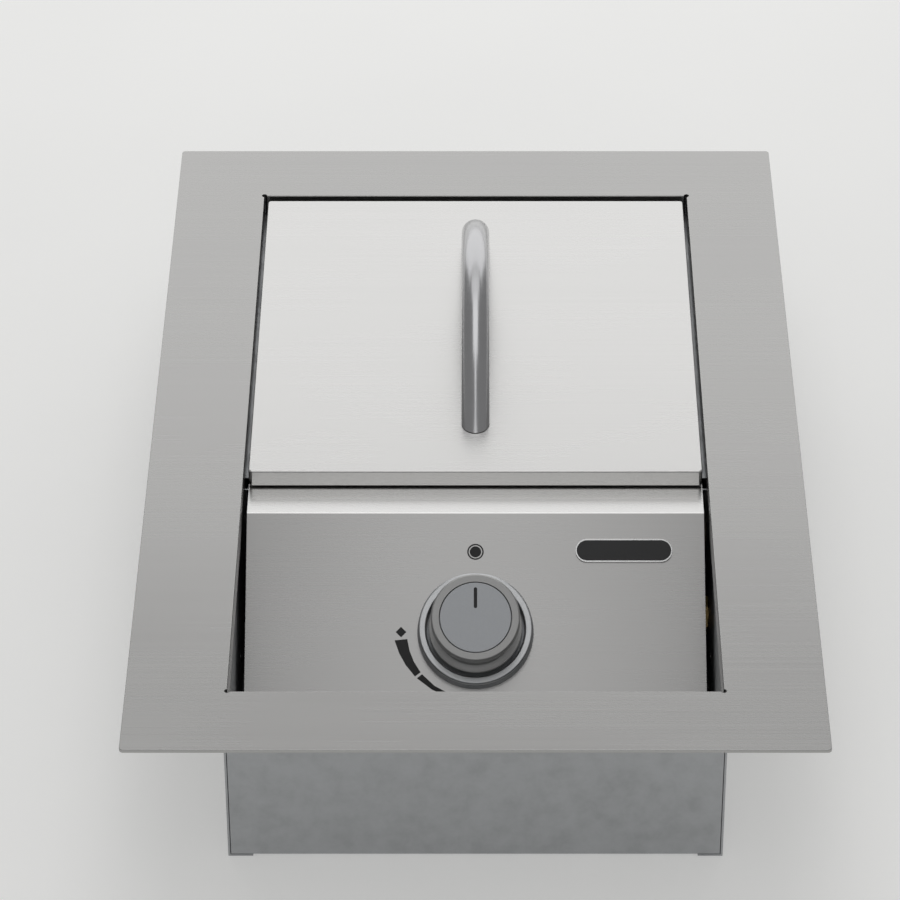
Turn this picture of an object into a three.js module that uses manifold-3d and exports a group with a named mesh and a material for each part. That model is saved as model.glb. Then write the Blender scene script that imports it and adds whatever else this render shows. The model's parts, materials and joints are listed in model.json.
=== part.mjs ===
// Built in side burner with a flush lift-off lid and a sloping control panel.
// Millimetres, +X right, +Y to the rear, +Z up. The origin is on the casing's base, under the frame's middle.
import * as THREE from "three";
import { mergeVertices } from "three/addons/utils/BufferGeometryUtils.js";
import Module from "manifold-3d";

const wasm = await Module();
wasm.setup();

// Sizes shared by every piece
const FIT = 0.3; // clearance between pieces that seat on each other
const OVERRUN = 2; // how far a cut runs past the face it opens
const SHEET = 1.2; // thickness of casing, ledges, panel and lid

// Trim frame
const OPENING_WIDTH = 255;
const SIDE_RAIL = 52.5;
const FRONT_RAIL = 47;
const REAR_RAIL = 51;
const RECESS_DEPTH = 190.5; // opening ahead of the lid
const FLANGE_THICKNESS = 2;
const FLANGE_CORNER = 2;
const LIP_DROP = 12; // below the underside of the plate
const LIP_THICKNESS = 1.5;
const RELIEF_RADIUS = 1.6; // round notch where two lips meet in a corner

// Casing
const WALL_RETURN = 12; // flanges folded at the head and foot of the side walls
const CORNER_TAB = 10; // tabs of the front and rear walls, along the side walls
const VENT_HEIGHT = 5;
const VENT_BRIDGE = 12; // metal between two vents of a row
const VENT_MARGIN = 26; // bowl's depth left without vents
const VENT_COLUMNS = 5;
const VENT_ROWS = 2;
const VENT_ROW_PITCH = 14;
const VENT_LEVEL = 16; // lowest row above the base
const DRAIN_RADIUS = 5;
const DRAIN_SPACING = 90;
const RECESS_FLOOR = 12.8; // above the base

// Lid
const LID_SIDE_GAP = 2.5;
const LID_DEPTH = 276;
const LID_REAR_GAP = 5.5;
const LID_SKIRT = 9.8;
const LID_CORNER = 2;
const LID_HEM = 7; // return folded inwards along the skirt's lower edge
const LID_CLEARANCE = 6.2; // over the grate

// Lid handle
const HANDLE_DIAMETER = 16;
const HANDLE_SPAN = 185; // between the centres of the feet
const HANDLE_FOOT_ANGLE = 50; // degrees between the bar and the lid at each foot
const HANDLE_SIDES = 16;
const HANDLE_STEPS = 20;
const HANDLE_SCREW_RADIUS = 2.4;
const HANDLE_SCREW_REACH = 5; // into the foot
const HANDLE_SCREW_HEAD_RADIUS = 4.6;
const HANDLE_SCREW_HEAD = 2.8;

// Lid ledges and their bumpers
const LEDGE_WIDTH = 15;
const LEDGE_GAP = 2.7; // over the bowl's rails
const BUMPER_RADIUS = 4.5;
const BUMPER_NECK_RADIUS = 2;
const BUMPER_KEY_RADIUS = 3;
const BUMPER_KEY = 2; // swollen end below the ledge
const BUMPER_INSET = 24; // from the ends of the lid

// Control panel, measured along its own slope from the bend at the shelf
const PANEL_SIDE_GAP = 2.5;
const SHELF_GAP = 1.2; // below the lid's skirt
const SHELF_DEPTH = 23.2; // shelf in front of the lid
const SHELF_TUCK = 13; // shelf under the lid
const PANEL_TILT = 38; // degrees from the horizontal
const PANEL_FLANGE = 9; // stiffening flange folded under each side
const PANEL_FRONT_GAP = 4; // recess floor to the front wall

// Bulkhead under the rear end of the shelf
const BULKHEAD_FLANGE = 8;
const CLEAR_HOLE_RADIUS = 7; // for the orifice holder
const GROMMET_HOLE_RADIUS = 3.2; // for the spark lead

// Knob and bezel; heights are above the panel
const KNOB_DROP = 67.2; // from the bend to the knob's axis
const BEZEL_RADIUS = 31;
const BEZEL_BORE_RADIUS = 26.4;
const BEZEL_HEIGHT = 9;
const BEZEL_RING = 3; // height of the bright ring on top
const BEZEL_FLOOR = 1.2;
const BEZEL_WALL = 3;
const KNOB_FACE_HEIGHT = 34;
const KNOB_RIM_RADIUS = 24;
const KNOB_WAIST_RADIUS = 19.4;
const KNOB_BASE_RADIUS = 25.3;
const KNOB_BASE_HEIGHT = 10.4; // underside of the base flange
const KNOB_DISC_RADIUS = 19.25;
const KNOB_DISC = 2;
const KNOB_WEB = 4.7; // solid top behind the disc
const KNOB_WALL = 2.2;
const HUB_RADIUS = 7;
const HUB_HEIGHT = 12; // underside of the hub
const KNOB_TRAVEL = 4;
const ROUND_SIDES = 32;

// Gas valve, behind the panel on the knob's axis
const STEM_RADIUS = 3;
const STEM_DEPTH = 20; // below the panel's face
const STEM_FLAT = 0.8; // depth of the D flat
const STEM_HOLE_RADIUS = 6.5; // through the panel and bezel
const BONNET_RADIUS = 12;
const BONNET_HEIGHT = 6;
const VALVE_RADIUS = 12;
const VALVE_LENGTH = 28;
const VALVE_FLOOR = 4;
const ROTOR_RADIUS = 6;
const ROTOR_LENGTH = 17;
const ROTOR_FLOOR = 2.4;
const BOSS_RADIUS = 6.5;
const BOSS_REACH = 22; // from the axis to the end of each port
const BOSS_LEVEL = 27; // ports below the panel's face
const PORT_RADIUS = 2.5;
const BRACKET_WIDTH = 50;
const BRACKET_HEIGHT = 22;
const PANEL_SCREW_SPACING = 34;
const PANEL_SCREW_RADIUS = 1.9;
const PANEL_SCREW_HEAD_RADIUS = 3.4;
const PANEL_SCREW_HEAD = 2;
const PANEL_SCREW_LENGTH = 5; // beyond the bracket
const SPRING_RADIUS = 4.8;
const SPRING_WIRE_RADIUS = 0.6;
const SPRING_TURNS = 4;
const SPRING_STEPS = 48;
const SPRING_SIDES = 6;

// Badge plate, left blank
const BADGE_LENGTH = 53;
const BADGE_HEIGHT = 13;
const BADGE_THICKNESS = 1;
const BADGE_DROP = 21.7;
const BADGE_OFFSET = 81;
const BADGE_STEPS = 10;

// Burner
const BURNER_OFFSET = 2.35; // burner's centre behind the bowl's
const VENTURI_HEIGHT = 32;
const VENTURI_RADIUS = 12;
const VENTURI_WALL = 2.2;
const VENTURI_START = 26; // mouth behind the bulkhead
const RISER_RADIUS = 16;
const BURNER_CUP_RADIUS = 34;
const BURNER_CUP_HEIGHT = 11;
const BURNER_HEAD_RADIUS = 39;
const BURNER_HEAD_BORE = 24;
const BURNER_HEAD_HEIGHT = 10;
const BURNER_PORTS = 20;
const PORT_WIDTH = 2.2;
const PORT_DEPTH = 4;
const CAP_RADIUS = 37;
const CAP_HEIGHT = 6;
const CAP_LAND = 2.4;
const SHUTTER_WALL = 1.2;
const SHUTTER_LENGTH = 18;
const SHUTTER_WINDOW = 9;

// Spill bowl and grate
const BOWL_SIDE_GAP = 3.8; // rim to the side walls
const BOWL_TUCK = 4.35; // rim under the shelf and the rear ledge
const BOWL_SIDE_RIM = 26.5;
const BOWL_END_RIM = 14;
const BOWL_CORNER = 14;
const BOWL_CLEARANCE = 4.3; // floor over the mixing tube
const BOWL_DROP = 31; // rim to floor
const BOWL_HOLE_RADIUS = 22;
const SUPPORT_HEIGHT = 18;
const GRATE_LAP = 12; // on the bowl's rim at each side
const GRATE_INSET = 7; // from the bowl's ends
const GRATE_BAR = 8;
const GRATE_BAR_HEIGHT = 8;
const FLAME_GAP = 8.6; // burner cap to grate
const GRATE_CELLS = 4;
const GRATE_RING_RADIUS = 33;
const GRATE_RING_BORE = 25;
const GRATE_FOOT = 12;
const FOOT_SIDES = 4;

// Gas line
const TUBE_RADIUS = 4;
const TUBE_SIDES = 8;
const TUBE_STEPS = 16;
const HOLDER_HEX = 14; // across the flats
const HOLDER_NUT = 10;
const HOLDER_NECK_RADIUS = 5;
const HOLDER_LENGTH = 12; // through and behind the bulkhead
const ORIFICE_LENGTH = 8;
const ORIFICE_RADIUS = 3.2;
const ORIFICE_BORE = 1;
const INLET_LEVEL = 30;
const INLET_SETBACK = 30; // ahead of the bulkhead's face
const RIVET_SETBACK = 62.1; // ahead of the bulkhead's face
const INLET_HEX = 19;
const INLET_NUT = 8;
const INLET_RADIUS = 7;
const INLET_REACH = 24; // outside the casing
const INLET_BORE = 4;
const INLET_COLLAR = 6;

// Igniter
const MODULE_WIDTH = 40;
const MODULE_DEPTH = 26;
const MODULE_HEIGHT = 40;
const MODULE_OFFSET = 72;
const MODULE_LEVEL = 24;
const BATTERY_CAP_RADIUS = 12;
const BATTERY_CAP_HEIGHT = 6;
const CAP_GRIPS = 12;
const GRIP_RADIUS = 1.1;
const GRIP_SIDES = 8;
const ELECTRODE_OFFSET = 47; // from the burner's centre
const ELECTRODE_RADIUS = 3.4;
const ELECTRODE_COLLAR_RADIUS = 5;
const ELECTRODE_COLLAR = 3;
const ELECTRODE_FOOT = 30; // lower end above the base
const ELECTRODE_HEAD = 66;
const ELECTRODE_TIP_RADIUS = 0.9;
const ELECTRODE_TIP_RISE = 7;
const ELECTRODE_TIP_LEAN = 5;
const LEAD_RADIUS = 1.8;
const LEAD_SIDES = 8;
const LEAD_STEPS = 48;
const LEAD_SOCKET = 12; // depth of its socket in the module
const LEAD_LEVEL = 10; // where the lead passes the bulkhead
const LEAD_SETTLE = 28; // behind the bulkhead, where the lead comes to lie on the pan
const LEAD_STRAIGHT = 7; // below the electrode, and at both ends of its run on the pan
const LEAD_POINTS = 4; // steps of each bend on its route

// Small fasteners
const SCREW_RADIUS = 1.9;
const SCREW_HEAD_RADIUS = 3.6;
const SCREW_HEAD = 2.2;
const SCREW_SIDES = 12;
const RIVET_RADIUS = 1.6;
const RIVET_HEAD_RADIUS = 3.2;
const RIVET_HEAD = 1.1;
const RIVET_LEVEL = 26;
const BRACKET_FOOT = 16;
const BURNER_BRACKET_WIDTH = 44;
const BURNER_BRACKET_DEPTH = 24;

// Places worked out from the sizes above
const BOWL_FLOOR = VENTURI_HEIGHT + VENTURI_RADIUS + BOWL_CLEARANCE + SHEET;
const BOWL_SEAT = BOWL_FLOOR + BOWL_DROP; // top of the rim
const BOWL_RIM_LEVEL = BOWL_SEAT - SHEET; // underside of the rim
const RAIL_HEAD = BOWL_RIM_LEVEL - FIT;
const CUP_BASE = BOWL_FLOOR + FIT;
const CUP_TOP = CUP_BASE + BURNER_CUP_HEIGHT;
const HEAD_BASE = CUP_TOP + FIT;
const HEAD_TOP = HEAD_BASE + BURNER_HEAD_HEIGHT;
const CAP_BASE = HEAD_TOP + FIT;
const GRATE_UNDERSIDE = CAP_BASE + CAP_HEIGHT + FLAME_GAP;
const GRATE_TOP = GRATE_UNDERSIDE + GRATE_BAR_HEIGHT;
const LID_FOOT = GRATE_TOP + LID_CLEARANCE;
const BODY_HEIGHT = LID_FOOT + LID_SKIRT; // base to the top of the frame
const OPENING_DEPTH = RECESS_DEPTH + LID_DEPTH + LID_REAR_GAP;
const FLANGE_WIDTH = OPENING_WIDTH + 2 * SIDE_RAIL;
const FLANGE_DEPTH = FRONT_RAIL + OPENING_DEPTH + REAR_RAIL;
const FRONT = -FLANGE_DEPTH / 2;
const OPENING_FRONT = FRONT + FRONT_RAIL;
const OPENING_REAR = OPENING_FRONT + OPENING_DEPTH;
const OPENING_MIDDLE = (OPENING_FRONT + OPENING_REAR) / 2;
const OPENING_SIDE = OPENING_WIDTH / 2;
const FLANGE_UNDERSIDE = BODY_HEIGHT - FLANGE_THICKNESS;
const LIP_FOOT = FLANGE_UNDERSIDE - LIP_DROP;
const WALL_SIDE = OPENING_SIDE + LIP_THICKNESS + FIT; // inner face of the side walls
const WALL_FRONT = OPENING_FRONT - LIP_THICKNESS - FIT;
const WALL_REAR = OPENING_REAR + LIP_THICKNESS + FIT;
const WALL_HEAD = FLANGE_UNDERSIDE - FIT;
const PAN_TOP = 2 * SHEET + FIT;
const LID_WIDTH = OPENING_WIDTH - 2 * LID_SIDE_GAP;
const LID_BACK = OPENING_REAR - LID_REAR_GAP;
const LID_FRONT = LID_BACK - LID_DEPTH;
const LID_MIDDLE = (LID_FRONT + LID_BACK) / 2;
const LID_UNDERSIDE = BODY_HEIGHT - SHEET;
const LEDGE_TOP = LIP_FOOT - FIT;
const LEDGE_FOOT = RAIL_HEAD + LEDGE_GAP;
const SHELF_TOP = LID_FOOT - SHELF_GAP;
const SHELF_UNDERSIDE = SHELF_TOP - SHEET;
const BEND_Y = LID_FRONT - SHELF_DEPTH;
const SHELF_BACK = LID_FRONT + SHELF_TUCK;
const TILT = THREE.MathUtils.degToRad(PANEL_TILT);
const UP_SLOPE = new THREE.Vector3(0, Math.cos(TILT), Math.sin(TILT));
const PANEL_NORMAL = new THREE.Vector3(0, -Math.sin(TILT), Math.cos(TILT));
const BEND = new THREE.Vector3(0, BEND_Y, SHELF_TOP);
const KNOB_PLACE = BEND.clone().addScaledVector(UP_SLOPE, -KNOB_DROP);
const PANEL_LENGTH = (SHELF_TOP - RECESS_FLOOR) / Math.sin(TILT);
const SLOPE_FOOT = BEND.clone().addScaledVector(UP_SLOPE, -PANEL_LENGTH);
const FLOOR_FRONT = WALL_FRONT + PANEL_FRONT_GAP;
const DRAIN_Y = (FLOOR_FRONT + SLOPE_FOOT.y) / 2;
const BULKHEAD_FACE = SHELF_BACK - BULKHEAD_FLANGE - SHEET; // its front face
const BULKHEAD_BACK = BULKHEAD_FACE + SHEET;
const LEDGE_FRONT = WALL_REAR - LEDGE_WIDTH; // of the rear ledge
const BOWL_MIDDLE = (SHELF_BACK + LEDGE_FRONT) / 2;
const BOWL_RIM_WIDTH = 2 * (WALL_SIDE - BOWL_SIDE_GAP);
const BOWL_RIM_DEPTH = LEDGE_FRONT - SHELF_BACK + 2 * BOWL_TUCK;
const BOWL_WIDTH = BOWL_RIM_WIDTH - 2 * BOWL_SIDE_RIM;
const BOWL_DEPTH = BOWL_RIM_DEPTH - 2 * BOWL_END_RIM;
const GRATE_WIDTH = BOWL_WIDTH + 2 * GRATE_LAP;
const GRATE_DEPTH = BOWL_DEPTH - 2 * GRATE_INSET;
const BURNER_Y = BOWL_MIDDLE + BURNER_OFFSET;
const VENT_PITCH = (BOWL_DEPTH - VENT_MARGIN) / VENT_COLUMNS;
const VENT_LENGTH = VENT_PITCH - VENT_BRIDGE;
const RIVET_Y = BULKHEAD_FACE - RIVET_SETBACK;
const INLET_Y = BULKHEAD_FACE - INLET_SETBACK;
const MOUTH_Y = BULKHEAD_BACK + VENTURI_START;
const BRACKET_Y = (MOUTH_Y + BURNER_Y) / 2;
const BRACKET_SCREW_X = BURNER_BRACKET_WIDTH / 2 + BRACKET_FOOT / 2;

// Materials
function finish(color, roughness, metalness) {
  return new THREE.MeshStandardMaterial({ color, roughness, metalness });
}

const BRUSHED = finish("#b4b3b0", 0.34, 1);
const SATIN = finish("#8f9396", 0.42, 0.9);
const POLISHED = finish("#d5d6d8", 0.1, 1);
const GALVANISED = finish("#8d9193", 0.5, 0.9);
const IRON = finish("#1d1d1e", 0.72, 0.4);
const CAST = finish("#9a9896", 0.6, 0.8);
const BRASS = finish("#b08d4c", 0.35, 1);
const BLACK = finish("#151515", 0.45, 0);
const RUBBER = finish("#1a1a1a", 0.9, 0);
const CERAMIC = finish("#e9e6dd", 0.35, 0);

// A closed solid from any closed geometry, faces pointing out
function solid(geometry) {
  const bare = geometry.index ? geometry.clone() : mergeVertices(geometry.clone());
  bare.deleteAttribute("normal");
  bare.deleteAttribute("uv");
  const merged = mergeVertices(bare);
  const points = merged.getAttribute("position");
  const index = merged.index.array;
  const corners = [];
  const a = new THREE.Vector3();
  const b = new THREE.Vector3();
  const c = new THREE.Vector3();
  let sixVolumes = 0;
  for (let i = 0; i < index.length; i += 3) {
    const [p, q, r] = [index[i], index[i + 1], index[i + 2]];
    if (p === q || q === r || r === p) continue;
    corners.push(p, q, r);
    a.fromBufferAttribute(points, p);
    b.fromBufferAttribute(points, q);
    c.fromBufferAttribute(points, r);
    sixVolumes += a.dot(b.cross(c));
  }
  if (sixVolumes < 0) corners.reverse();
  const vertProperties = new Float32Array(points.array);
  const triVerts = new Uint32Array(corners);
  return new wasm.Manifold(new wasm.Mesh({ numProp: 3, vertProperties, triVerts }));
}

function geometryOf(body) {
  const mesh = body.getMesh();
  const geometry = new THREE.BufferGeometry();
  geometry.setAttribute("position", new THREE.BufferAttribute(mesh.vertProperties, 3));
  geometry.setIndex(new THREE.BufferAttribute(mesh.triVerts, 1));
  geometry.computeVertexNormals();
  return geometry;
}

function join(...geometries) {
  return geometryOf(geometries.map(solid).reduce((whole, next) => whole.add(next)));
}

function cut(geometry, ...tools) {
  return geometryOf(tools.map(solid).reduce((whole, tool) => whole.subtract(tool), solid(geometry)));
}

// A block between two corners
function block(x0, x1, y0, y1, z0, z1) {
  const geometry = new THREE.BoxGeometry(x1 - x0, y1 - y0, z1 - z0);
  return geometry.translate((x0 + x1) / 2, (y0 + y1) / 2, (z0 + z1) / 2);
}

// A rectangle with round corners about (0, middle)
function roundedRectangle(width, depth, radius, middle) {
  const x = width / 2;
  const y0 = middle - depth / 2;
  const y1 = middle + depth / 2;
  const shape = new THREE.Shape();
  shape.moveTo(-x + radius, y0);
  shape.lineTo(x - radius, y0);
  shape.absarc(x - radius, y0 + radius, radius, -Math.PI / 2, 0);
  shape.absarc(x - radius, y1 - radius, radius, 0, Math.PI / 2);
  shape.absarc(-x + radius, y1 - radius, radius, Math.PI / 2, Math.PI);
  shape.absarc(-x + radius, y0 + radius, radius, Math.PI, 1.5 * Math.PI);
  return shape;
}

// A shape in the XY plane raised between two heights
function slab(shape, z0, z1, curveSegments = 4) {
  const geometry = new THREE.ExtrudeGeometry(shape, { depth: z1 - z0, bevelEnabled: false, curveSegments });
  return geometry.translate(0, 0, z0);
}

// A shape drawn in (y, z) and run from x0 to x1
const YZ_TO_WORLD = new THREE.Matrix4().makeBasis(
  new THREE.Vector3(0, 1, 0),
  new THREE.Vector3(0, 0, 1),
  new THREE.Vector3(1, 0, 0),
);

function section(points, x0, x1) {
  const shape = new THREE.Shape(points.map(([y, z]) => new THREE.Vector2(y, z)));
  const geometry = new THREE.ExtrudeGeometry(shape, { depth: x1 - x0, bevelEnabled: false });
  return geometry.applyMatrix4(YZ_TO_WORLD).translate(x0, 0, 0);
}

// A profile of (radius, height) pairs turned about the Z axis; closed unless it ends on the axis
function turned(profile, sides = ROUND_SIDES) {
  const points = profile.map(([r, z]) => new THREE.Vector2(r, z));
  const onAxis = profile[0][0] === 0 && profile[profile.length - 1][0] === 0;
  if (!onAxis) points.push(points[0].clone());
  return new THREE.LatheGeometry(points, sides).rotateX(Math.PI / 2);
}

function rod(radius, z0, z1, sides = ROUND_SIDES) {
  return turned([[0, z0], [radius, z0], [radius, z1], [0, z1]], sides);
}

function ring(bore, radius, z0, z1, sides = ROUND_SIDES) {
  return turned([[bore, z0], [radius, z0], [radius, z1], [bore, z1]], sides);
}

// A hexagonal bar given across its flats
function hexBar(acrossFlats, z0, z1) {
  return rod(acrossFlats / Math.sqrt(3), z0, z1, 6);
}

// Turns a piece made along +Z so that it runs along another axis
function alongY(geometry) {
  return geometry.rotateX(-Math.PI / 2);
}

function alongX(geometry) {
  return geometry.rotateY(Math.PI / 2);
}

// A round tube along a curve, square at both ends
function tube(curve, radius, sides, steps) {
  const shape = new THREE.Shape();
  shape.absarc(0, 0, radius, 0, 2 * Math.PI);
  const outline = shape.getSpacedPoints(sides).slice(0, sides);
  return new THREE.ExtrudeGeometry(new THREE.Shape(outline), { steps, extrudePath: curve });
}

// A smooth route through points that leaves and arrives along straight ends
function route(points, startWay, endWay, lead) {
  const first = points[0];
  const last = points[points.length - 1];
  const afterFirst = first.clone().addScaledVector(startWay, lead);
  const beforeLast = last.clone().addScaledVector(endWay, -lead);
  const middle = [afterFirst, ...points.slice(1, -1), beforeLast];
  return new THREE.CatmullRomCurve3([first, ...middle, last], false, "centripetal");
}

const group = new THREE.Group();

function add(name, geometry, material, parent = group) {
  const mesh = new THREE.Mesh(geometryOf(solid(geometry)), material);
  mesh.name = name;
  parent.add(mesh);
  return mesh;
}

// Trim frame: plate with a turned-down lip round the opening and a relief notch in each corner
function trimFrame() {
  const outer = roundedRectangle(FLANGE_WIDTH, FLANGE_DEPTH, FLANGE_CORNER, 0);
  const plate = slab(outer, FLANGE_UNDERSIDE, BODY_HEIGHT);
  const wide = OPENING_SIDE + LIP_THICKNESS;
  const collar = block(
    -wide,
    wide,
    OPENING_FRONT - LIP_THICKNESS,
    OPENING_REAR + LIP_THICKNESS,
    LIP_FOOT,
    FLANGE_UNDERSIDE + FLANGE_THICKNESS / 2,
  );
  const tools = [
    block(
      -OPENING_SIDE,
      OPENING_SIDE,
      OPENING_FRONT,
      OPENING_REAR,
      LIP_FOOT - OVERRUN,
      BODY_HEIGHT + OVERRUN,
    ),
  ];
  for (const x of [-OPENING_SIDE, OPENING_SIDE]) {
    for (const y of [OPENING_FRONT, OPENING_REAR]) {
      const notch = rod(RELIEF_RADIUS, LIP_FOOT - OVERRUN, BODY_HEIGHT + OVERRUN, SCREW_SIDES);
      tools.push(notch.translate(x, y, 0));
    }
  }
  return cut(join(plate, collar), ...tools);
}

// Casing side wall: folded head flange outwards, foot flange inwards, two rows of vents
function sideWall(side) {
  const inner = WALL_SIDE;
  const outer = inner + SHEET;
  const front = WALL_FRONT - SHEET;
  const rear = WALL_REAR + SHEET;
  const wall = block(inner, outer, front, rear, 0, WALL_HEAD);
  const head = block(inner, outer + WALL_RETURN, front, rear, WALL_HEAD - SHEET, WALL_HEAD);
  const foot = block(inner - WALL_RETURN, outer, front, rear, 0, SHEET);
  const tools = [];
  for (let column = 0; column < VENT_COLUMNS; column += 1) {
    for (let row = 0; row < VENT_ROWS; row += 1) {
      const y = BURNER_Y + (column - (VENT_COLUMNS - 1) / 2) * VENT_PITCH;
      const z = VENT_LEVEL + row * VENT_ROW_PITCH;
      const [y0, y1] = [y - VENT_LENGTH / 2, y + VENT_LENGTH / 2];
      tools.push(block(inner - OVERRUN, outer + OVERRUN, y0, y1, z, z + VENT_HEIGHT));
    }
  }
  const rivetHole = rod(RIVET_RADIUS + FIT, inner - OVERRUN, outer + OVERRUN, SCREW_SIDES);
  tools.push(alongX(rivetHole).translate(0, RIVET_Y, RIVET_LEVEL));
  if (side > 0) {
    const inletHole = rod(INLET_RADIUS + FIT, inner - OVERRUN, outer + OVERRUN);
    tools.push(alongX(inletHole).translate(0, INLET_Y, INLET_LEVEL));
  }
  const cutWall = cut(join(wall, head, foot), ...tools);
  return side > 0 ? cutWall : cutWall.scale(-1, 1, 1);
}

// Front or rear wall, between the side walls, with a head flange outwards and a tab at each side
function endWall(face, way) {
  const wide = WALL_SIDE - FIT;
  const outer = face + way * SHEET;
  const [y0, y1] = [Math.min(face, outer), Math.max(face, outer)];
  const lip = outer + way * WALL_RETURN;
  const wall = block(-wide, wide, y0, y1, SHEET + FIT, WALL_HEAD);
  const head = block(-wide, wide, Math.min(face, lip), Math.max(face, lip), WALL_HEAD - SHEET, WALL_HEAD);
  const inwards = face - way * CORNER_TAB;
  const [t0, t1] = [Math.min(outer, inwards), Math.max(outer, inwards)];
  const tabHead = LEDGE_FOOT - FIT;
  const tabs = [-1, 1].map((side) => {
    const [x0, x1] = [side * wide, side * (wide - SHEET)].sort((p, q) => p - q);
    return block(x0, x1, t0, t1, SHEET + FIT, tabHead);
  });
  return join(wall, head, ...tabs);
}

// Bottom pan on the foot flanges, with two drain holes under the control space
function bottomPan() {
  const wide = WALL_SIDE - 2 * FIT - SHEET;
  const pan = block(-wide, wide, WALL_FRONT + FIT, WALL_REAR - FIT, SHEET + FIT, PAN_TOP);
  const tools = [-1, 1].map((side) => {
    const hole = rod(DRAIN_RADIUS, 0, PAN_TOP + OVERRUN, SCREW_SIDES);
    return hole.translate((side * DRAIN_SPACING) / 2, DRAIN_Y, 0);
  });
  for (const side of [-1, 1]) {
    const hole = rod(SCREW_RADIUS + FIT, 0, PAN_TOP + OVERRUN, SCREW_SIDES);
    tools.push(hole.translate(side * BRACKET_SCREW_X, BRACKET_Y, 0));
  }
  return cut(pan, ...tools);
}

add("trim_flange", trimFrame(), BRUSHED);
add("casing_left", sideWall(-1), GALVANISED);
add("casing_right", sideWall(1), GALVANISED);
add("casing_front", endWall(WALL_FRONT, -1), GALVANISED);
add("casing_rear", endWall(WALL_REAR, 1), GALVANISED);
add("casing_bottom", bottomPan(), GALVANISED);

for (const [name, side] of [["left", -1], ["right", 1]]) {
  const inner = WALL_SIDE - FIT - RIVET_HEAD;
  const outer = WALL_SIDE + SHEET + FIT + RIVET_HEAD;
  const rivet = turned(
    [
      [0, inner],
      [RIVET_HEAD_RADIUS * Math.SQRT1_2, inner],
      [RIVET_HEAD_RADIUS, inner + RIVET_HEAD],
      [RIVET_RADIUS, inner + RIVET_HEAD],
      [RIVET_RADIUS, outer - RIVET_HEAD],
      [RIVET_HEAD_RADIUS, outer - RIVET_HEAD],
      [RIVET_HEAD_RADIUS * Math.SQRT1_2, outer],
      [0, outer],
    ],
    SCREW_SIDES,
  );
  const placed = alongX(rivet).translate(0, RIVET_Y, RIVET_LEVEL);
  add(`wall_rivet_${name}`, side > 0 ? placed : placed.scale(-1, 1, 1), SATIN);
}

// Lid ledges along the sides and the rear, fixed to the casing under the frame's lip
const LEDGE_UNDERSIDE = LEDGE_TOP - SHEET;
const LEDGE_START = SHELF_BACK + FIT;
const BUMPER_X = LID_WIDTH / 2 - BUMPER_RADIUS;
const BUMPER_YS = { front: LID_FRONT + BUMPER_INSET, rear: LID_BACK - BUMPER_INSET };

function sideLedge(side) {
  const outer = WALL_SIDE - FIT;
  const rear = WALL_REAR - FIT;
  const leg = block(outer - SHEET, outer, LEDGE_START, rear, LEDGE_FOOT, LEDGE_TOP);
  const shelf = block(outer - LEDGE_WIDTH, outer, LEDGE_START, rear, LEDGE_UNDERSIDE, LEDGE_TOP);
  const tools = Object.values(BUMPER_YS).map((y) => {
    const hole = rod(BUMPER_NECK_RADIUS + FIT, LEDGE_UNDERSIDE - OVERRUN, LEDGE_TOP + OVERRUN, SCREW_SIDES);
    return hole.translate(BUMPER_X, y, 0);
  });
  const ledge = cut(join(leg, shelf), ...tools);
  return side > 0 ? ledge : ledge.scale(-1, 1, 1);
}

function rearLedge() {
  const wide = WALL_SIDE - FIT - LEDGE_WIDTH - FIT;
  const outer = WALL_REAR - FIT;
  const leg = block(-wide, wide, outer - SHEET, outer, LEDGE_FOOT, LEDGE_TOP);
  const shelf = block(-wide, wide, outer - LEDGE_WIDTH, outer, LEDGE_UNDERSIDE, LEDGE_TOP);
  return join(leg, shelf);
}

// Rubber bumper pressed through the ledge; the lid rests on its crown
function bumper() {
  const seat = LEDGE_TOP + FIT;
  const crown = LID_FOOT - FIT;
  const under = LEDGE_UNDERSIDE - FIT;
  return turned(
    [
      [0, under - BUMPER_KEY],
      [BUMPER_NECK_RADIUS, under - BUMPER_KEY],
      [BUMPER_KEY_RADIUS, under],
      [BUMPER_NECK_RADIUS, under],
      [BUMPER_NECK_RADIUS, seat],
      [BUMPER_RADIUS, seat],
      [BUMPER_RADIUS, (seat + crown) / 2],
      [BUMPER_KEY_RADIUS, crown],
      [0, crown],
    ],
    SCREW_SIDES,
  );
}

add("lid_ledge_left", sideLedge(-1), GALVANISED);
add("lid_ledge_right", sideLedge(1), GALVANISED);
add("lid_ledge_rear", rearLedge(), GALVANISED);
for (const [end, y] of Object.entries(BUMPER_YS)) {
  add(`lid_bumper_${end}_left`, bumper().translate(-BUMPER_X, y, 0), RUBBER);
  add(`lid_bumper_${end}_right`, bumper().translate(BUMPER_X, y, 0), RUBBER);
}

// Lid: flat top with a folded skirt, hemmed inwards, and a clearance hole under each handle foot
const HANDLE_BAR_RADIUS = HANDLE_DIAMETER / 2;
const HANDLE_FOOT_YS = { front: LID_MIDDLE - HANDLE_SPAN / 2, rear: LID_MIDDLE + HANDLE_SPAN / 2 };

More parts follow.
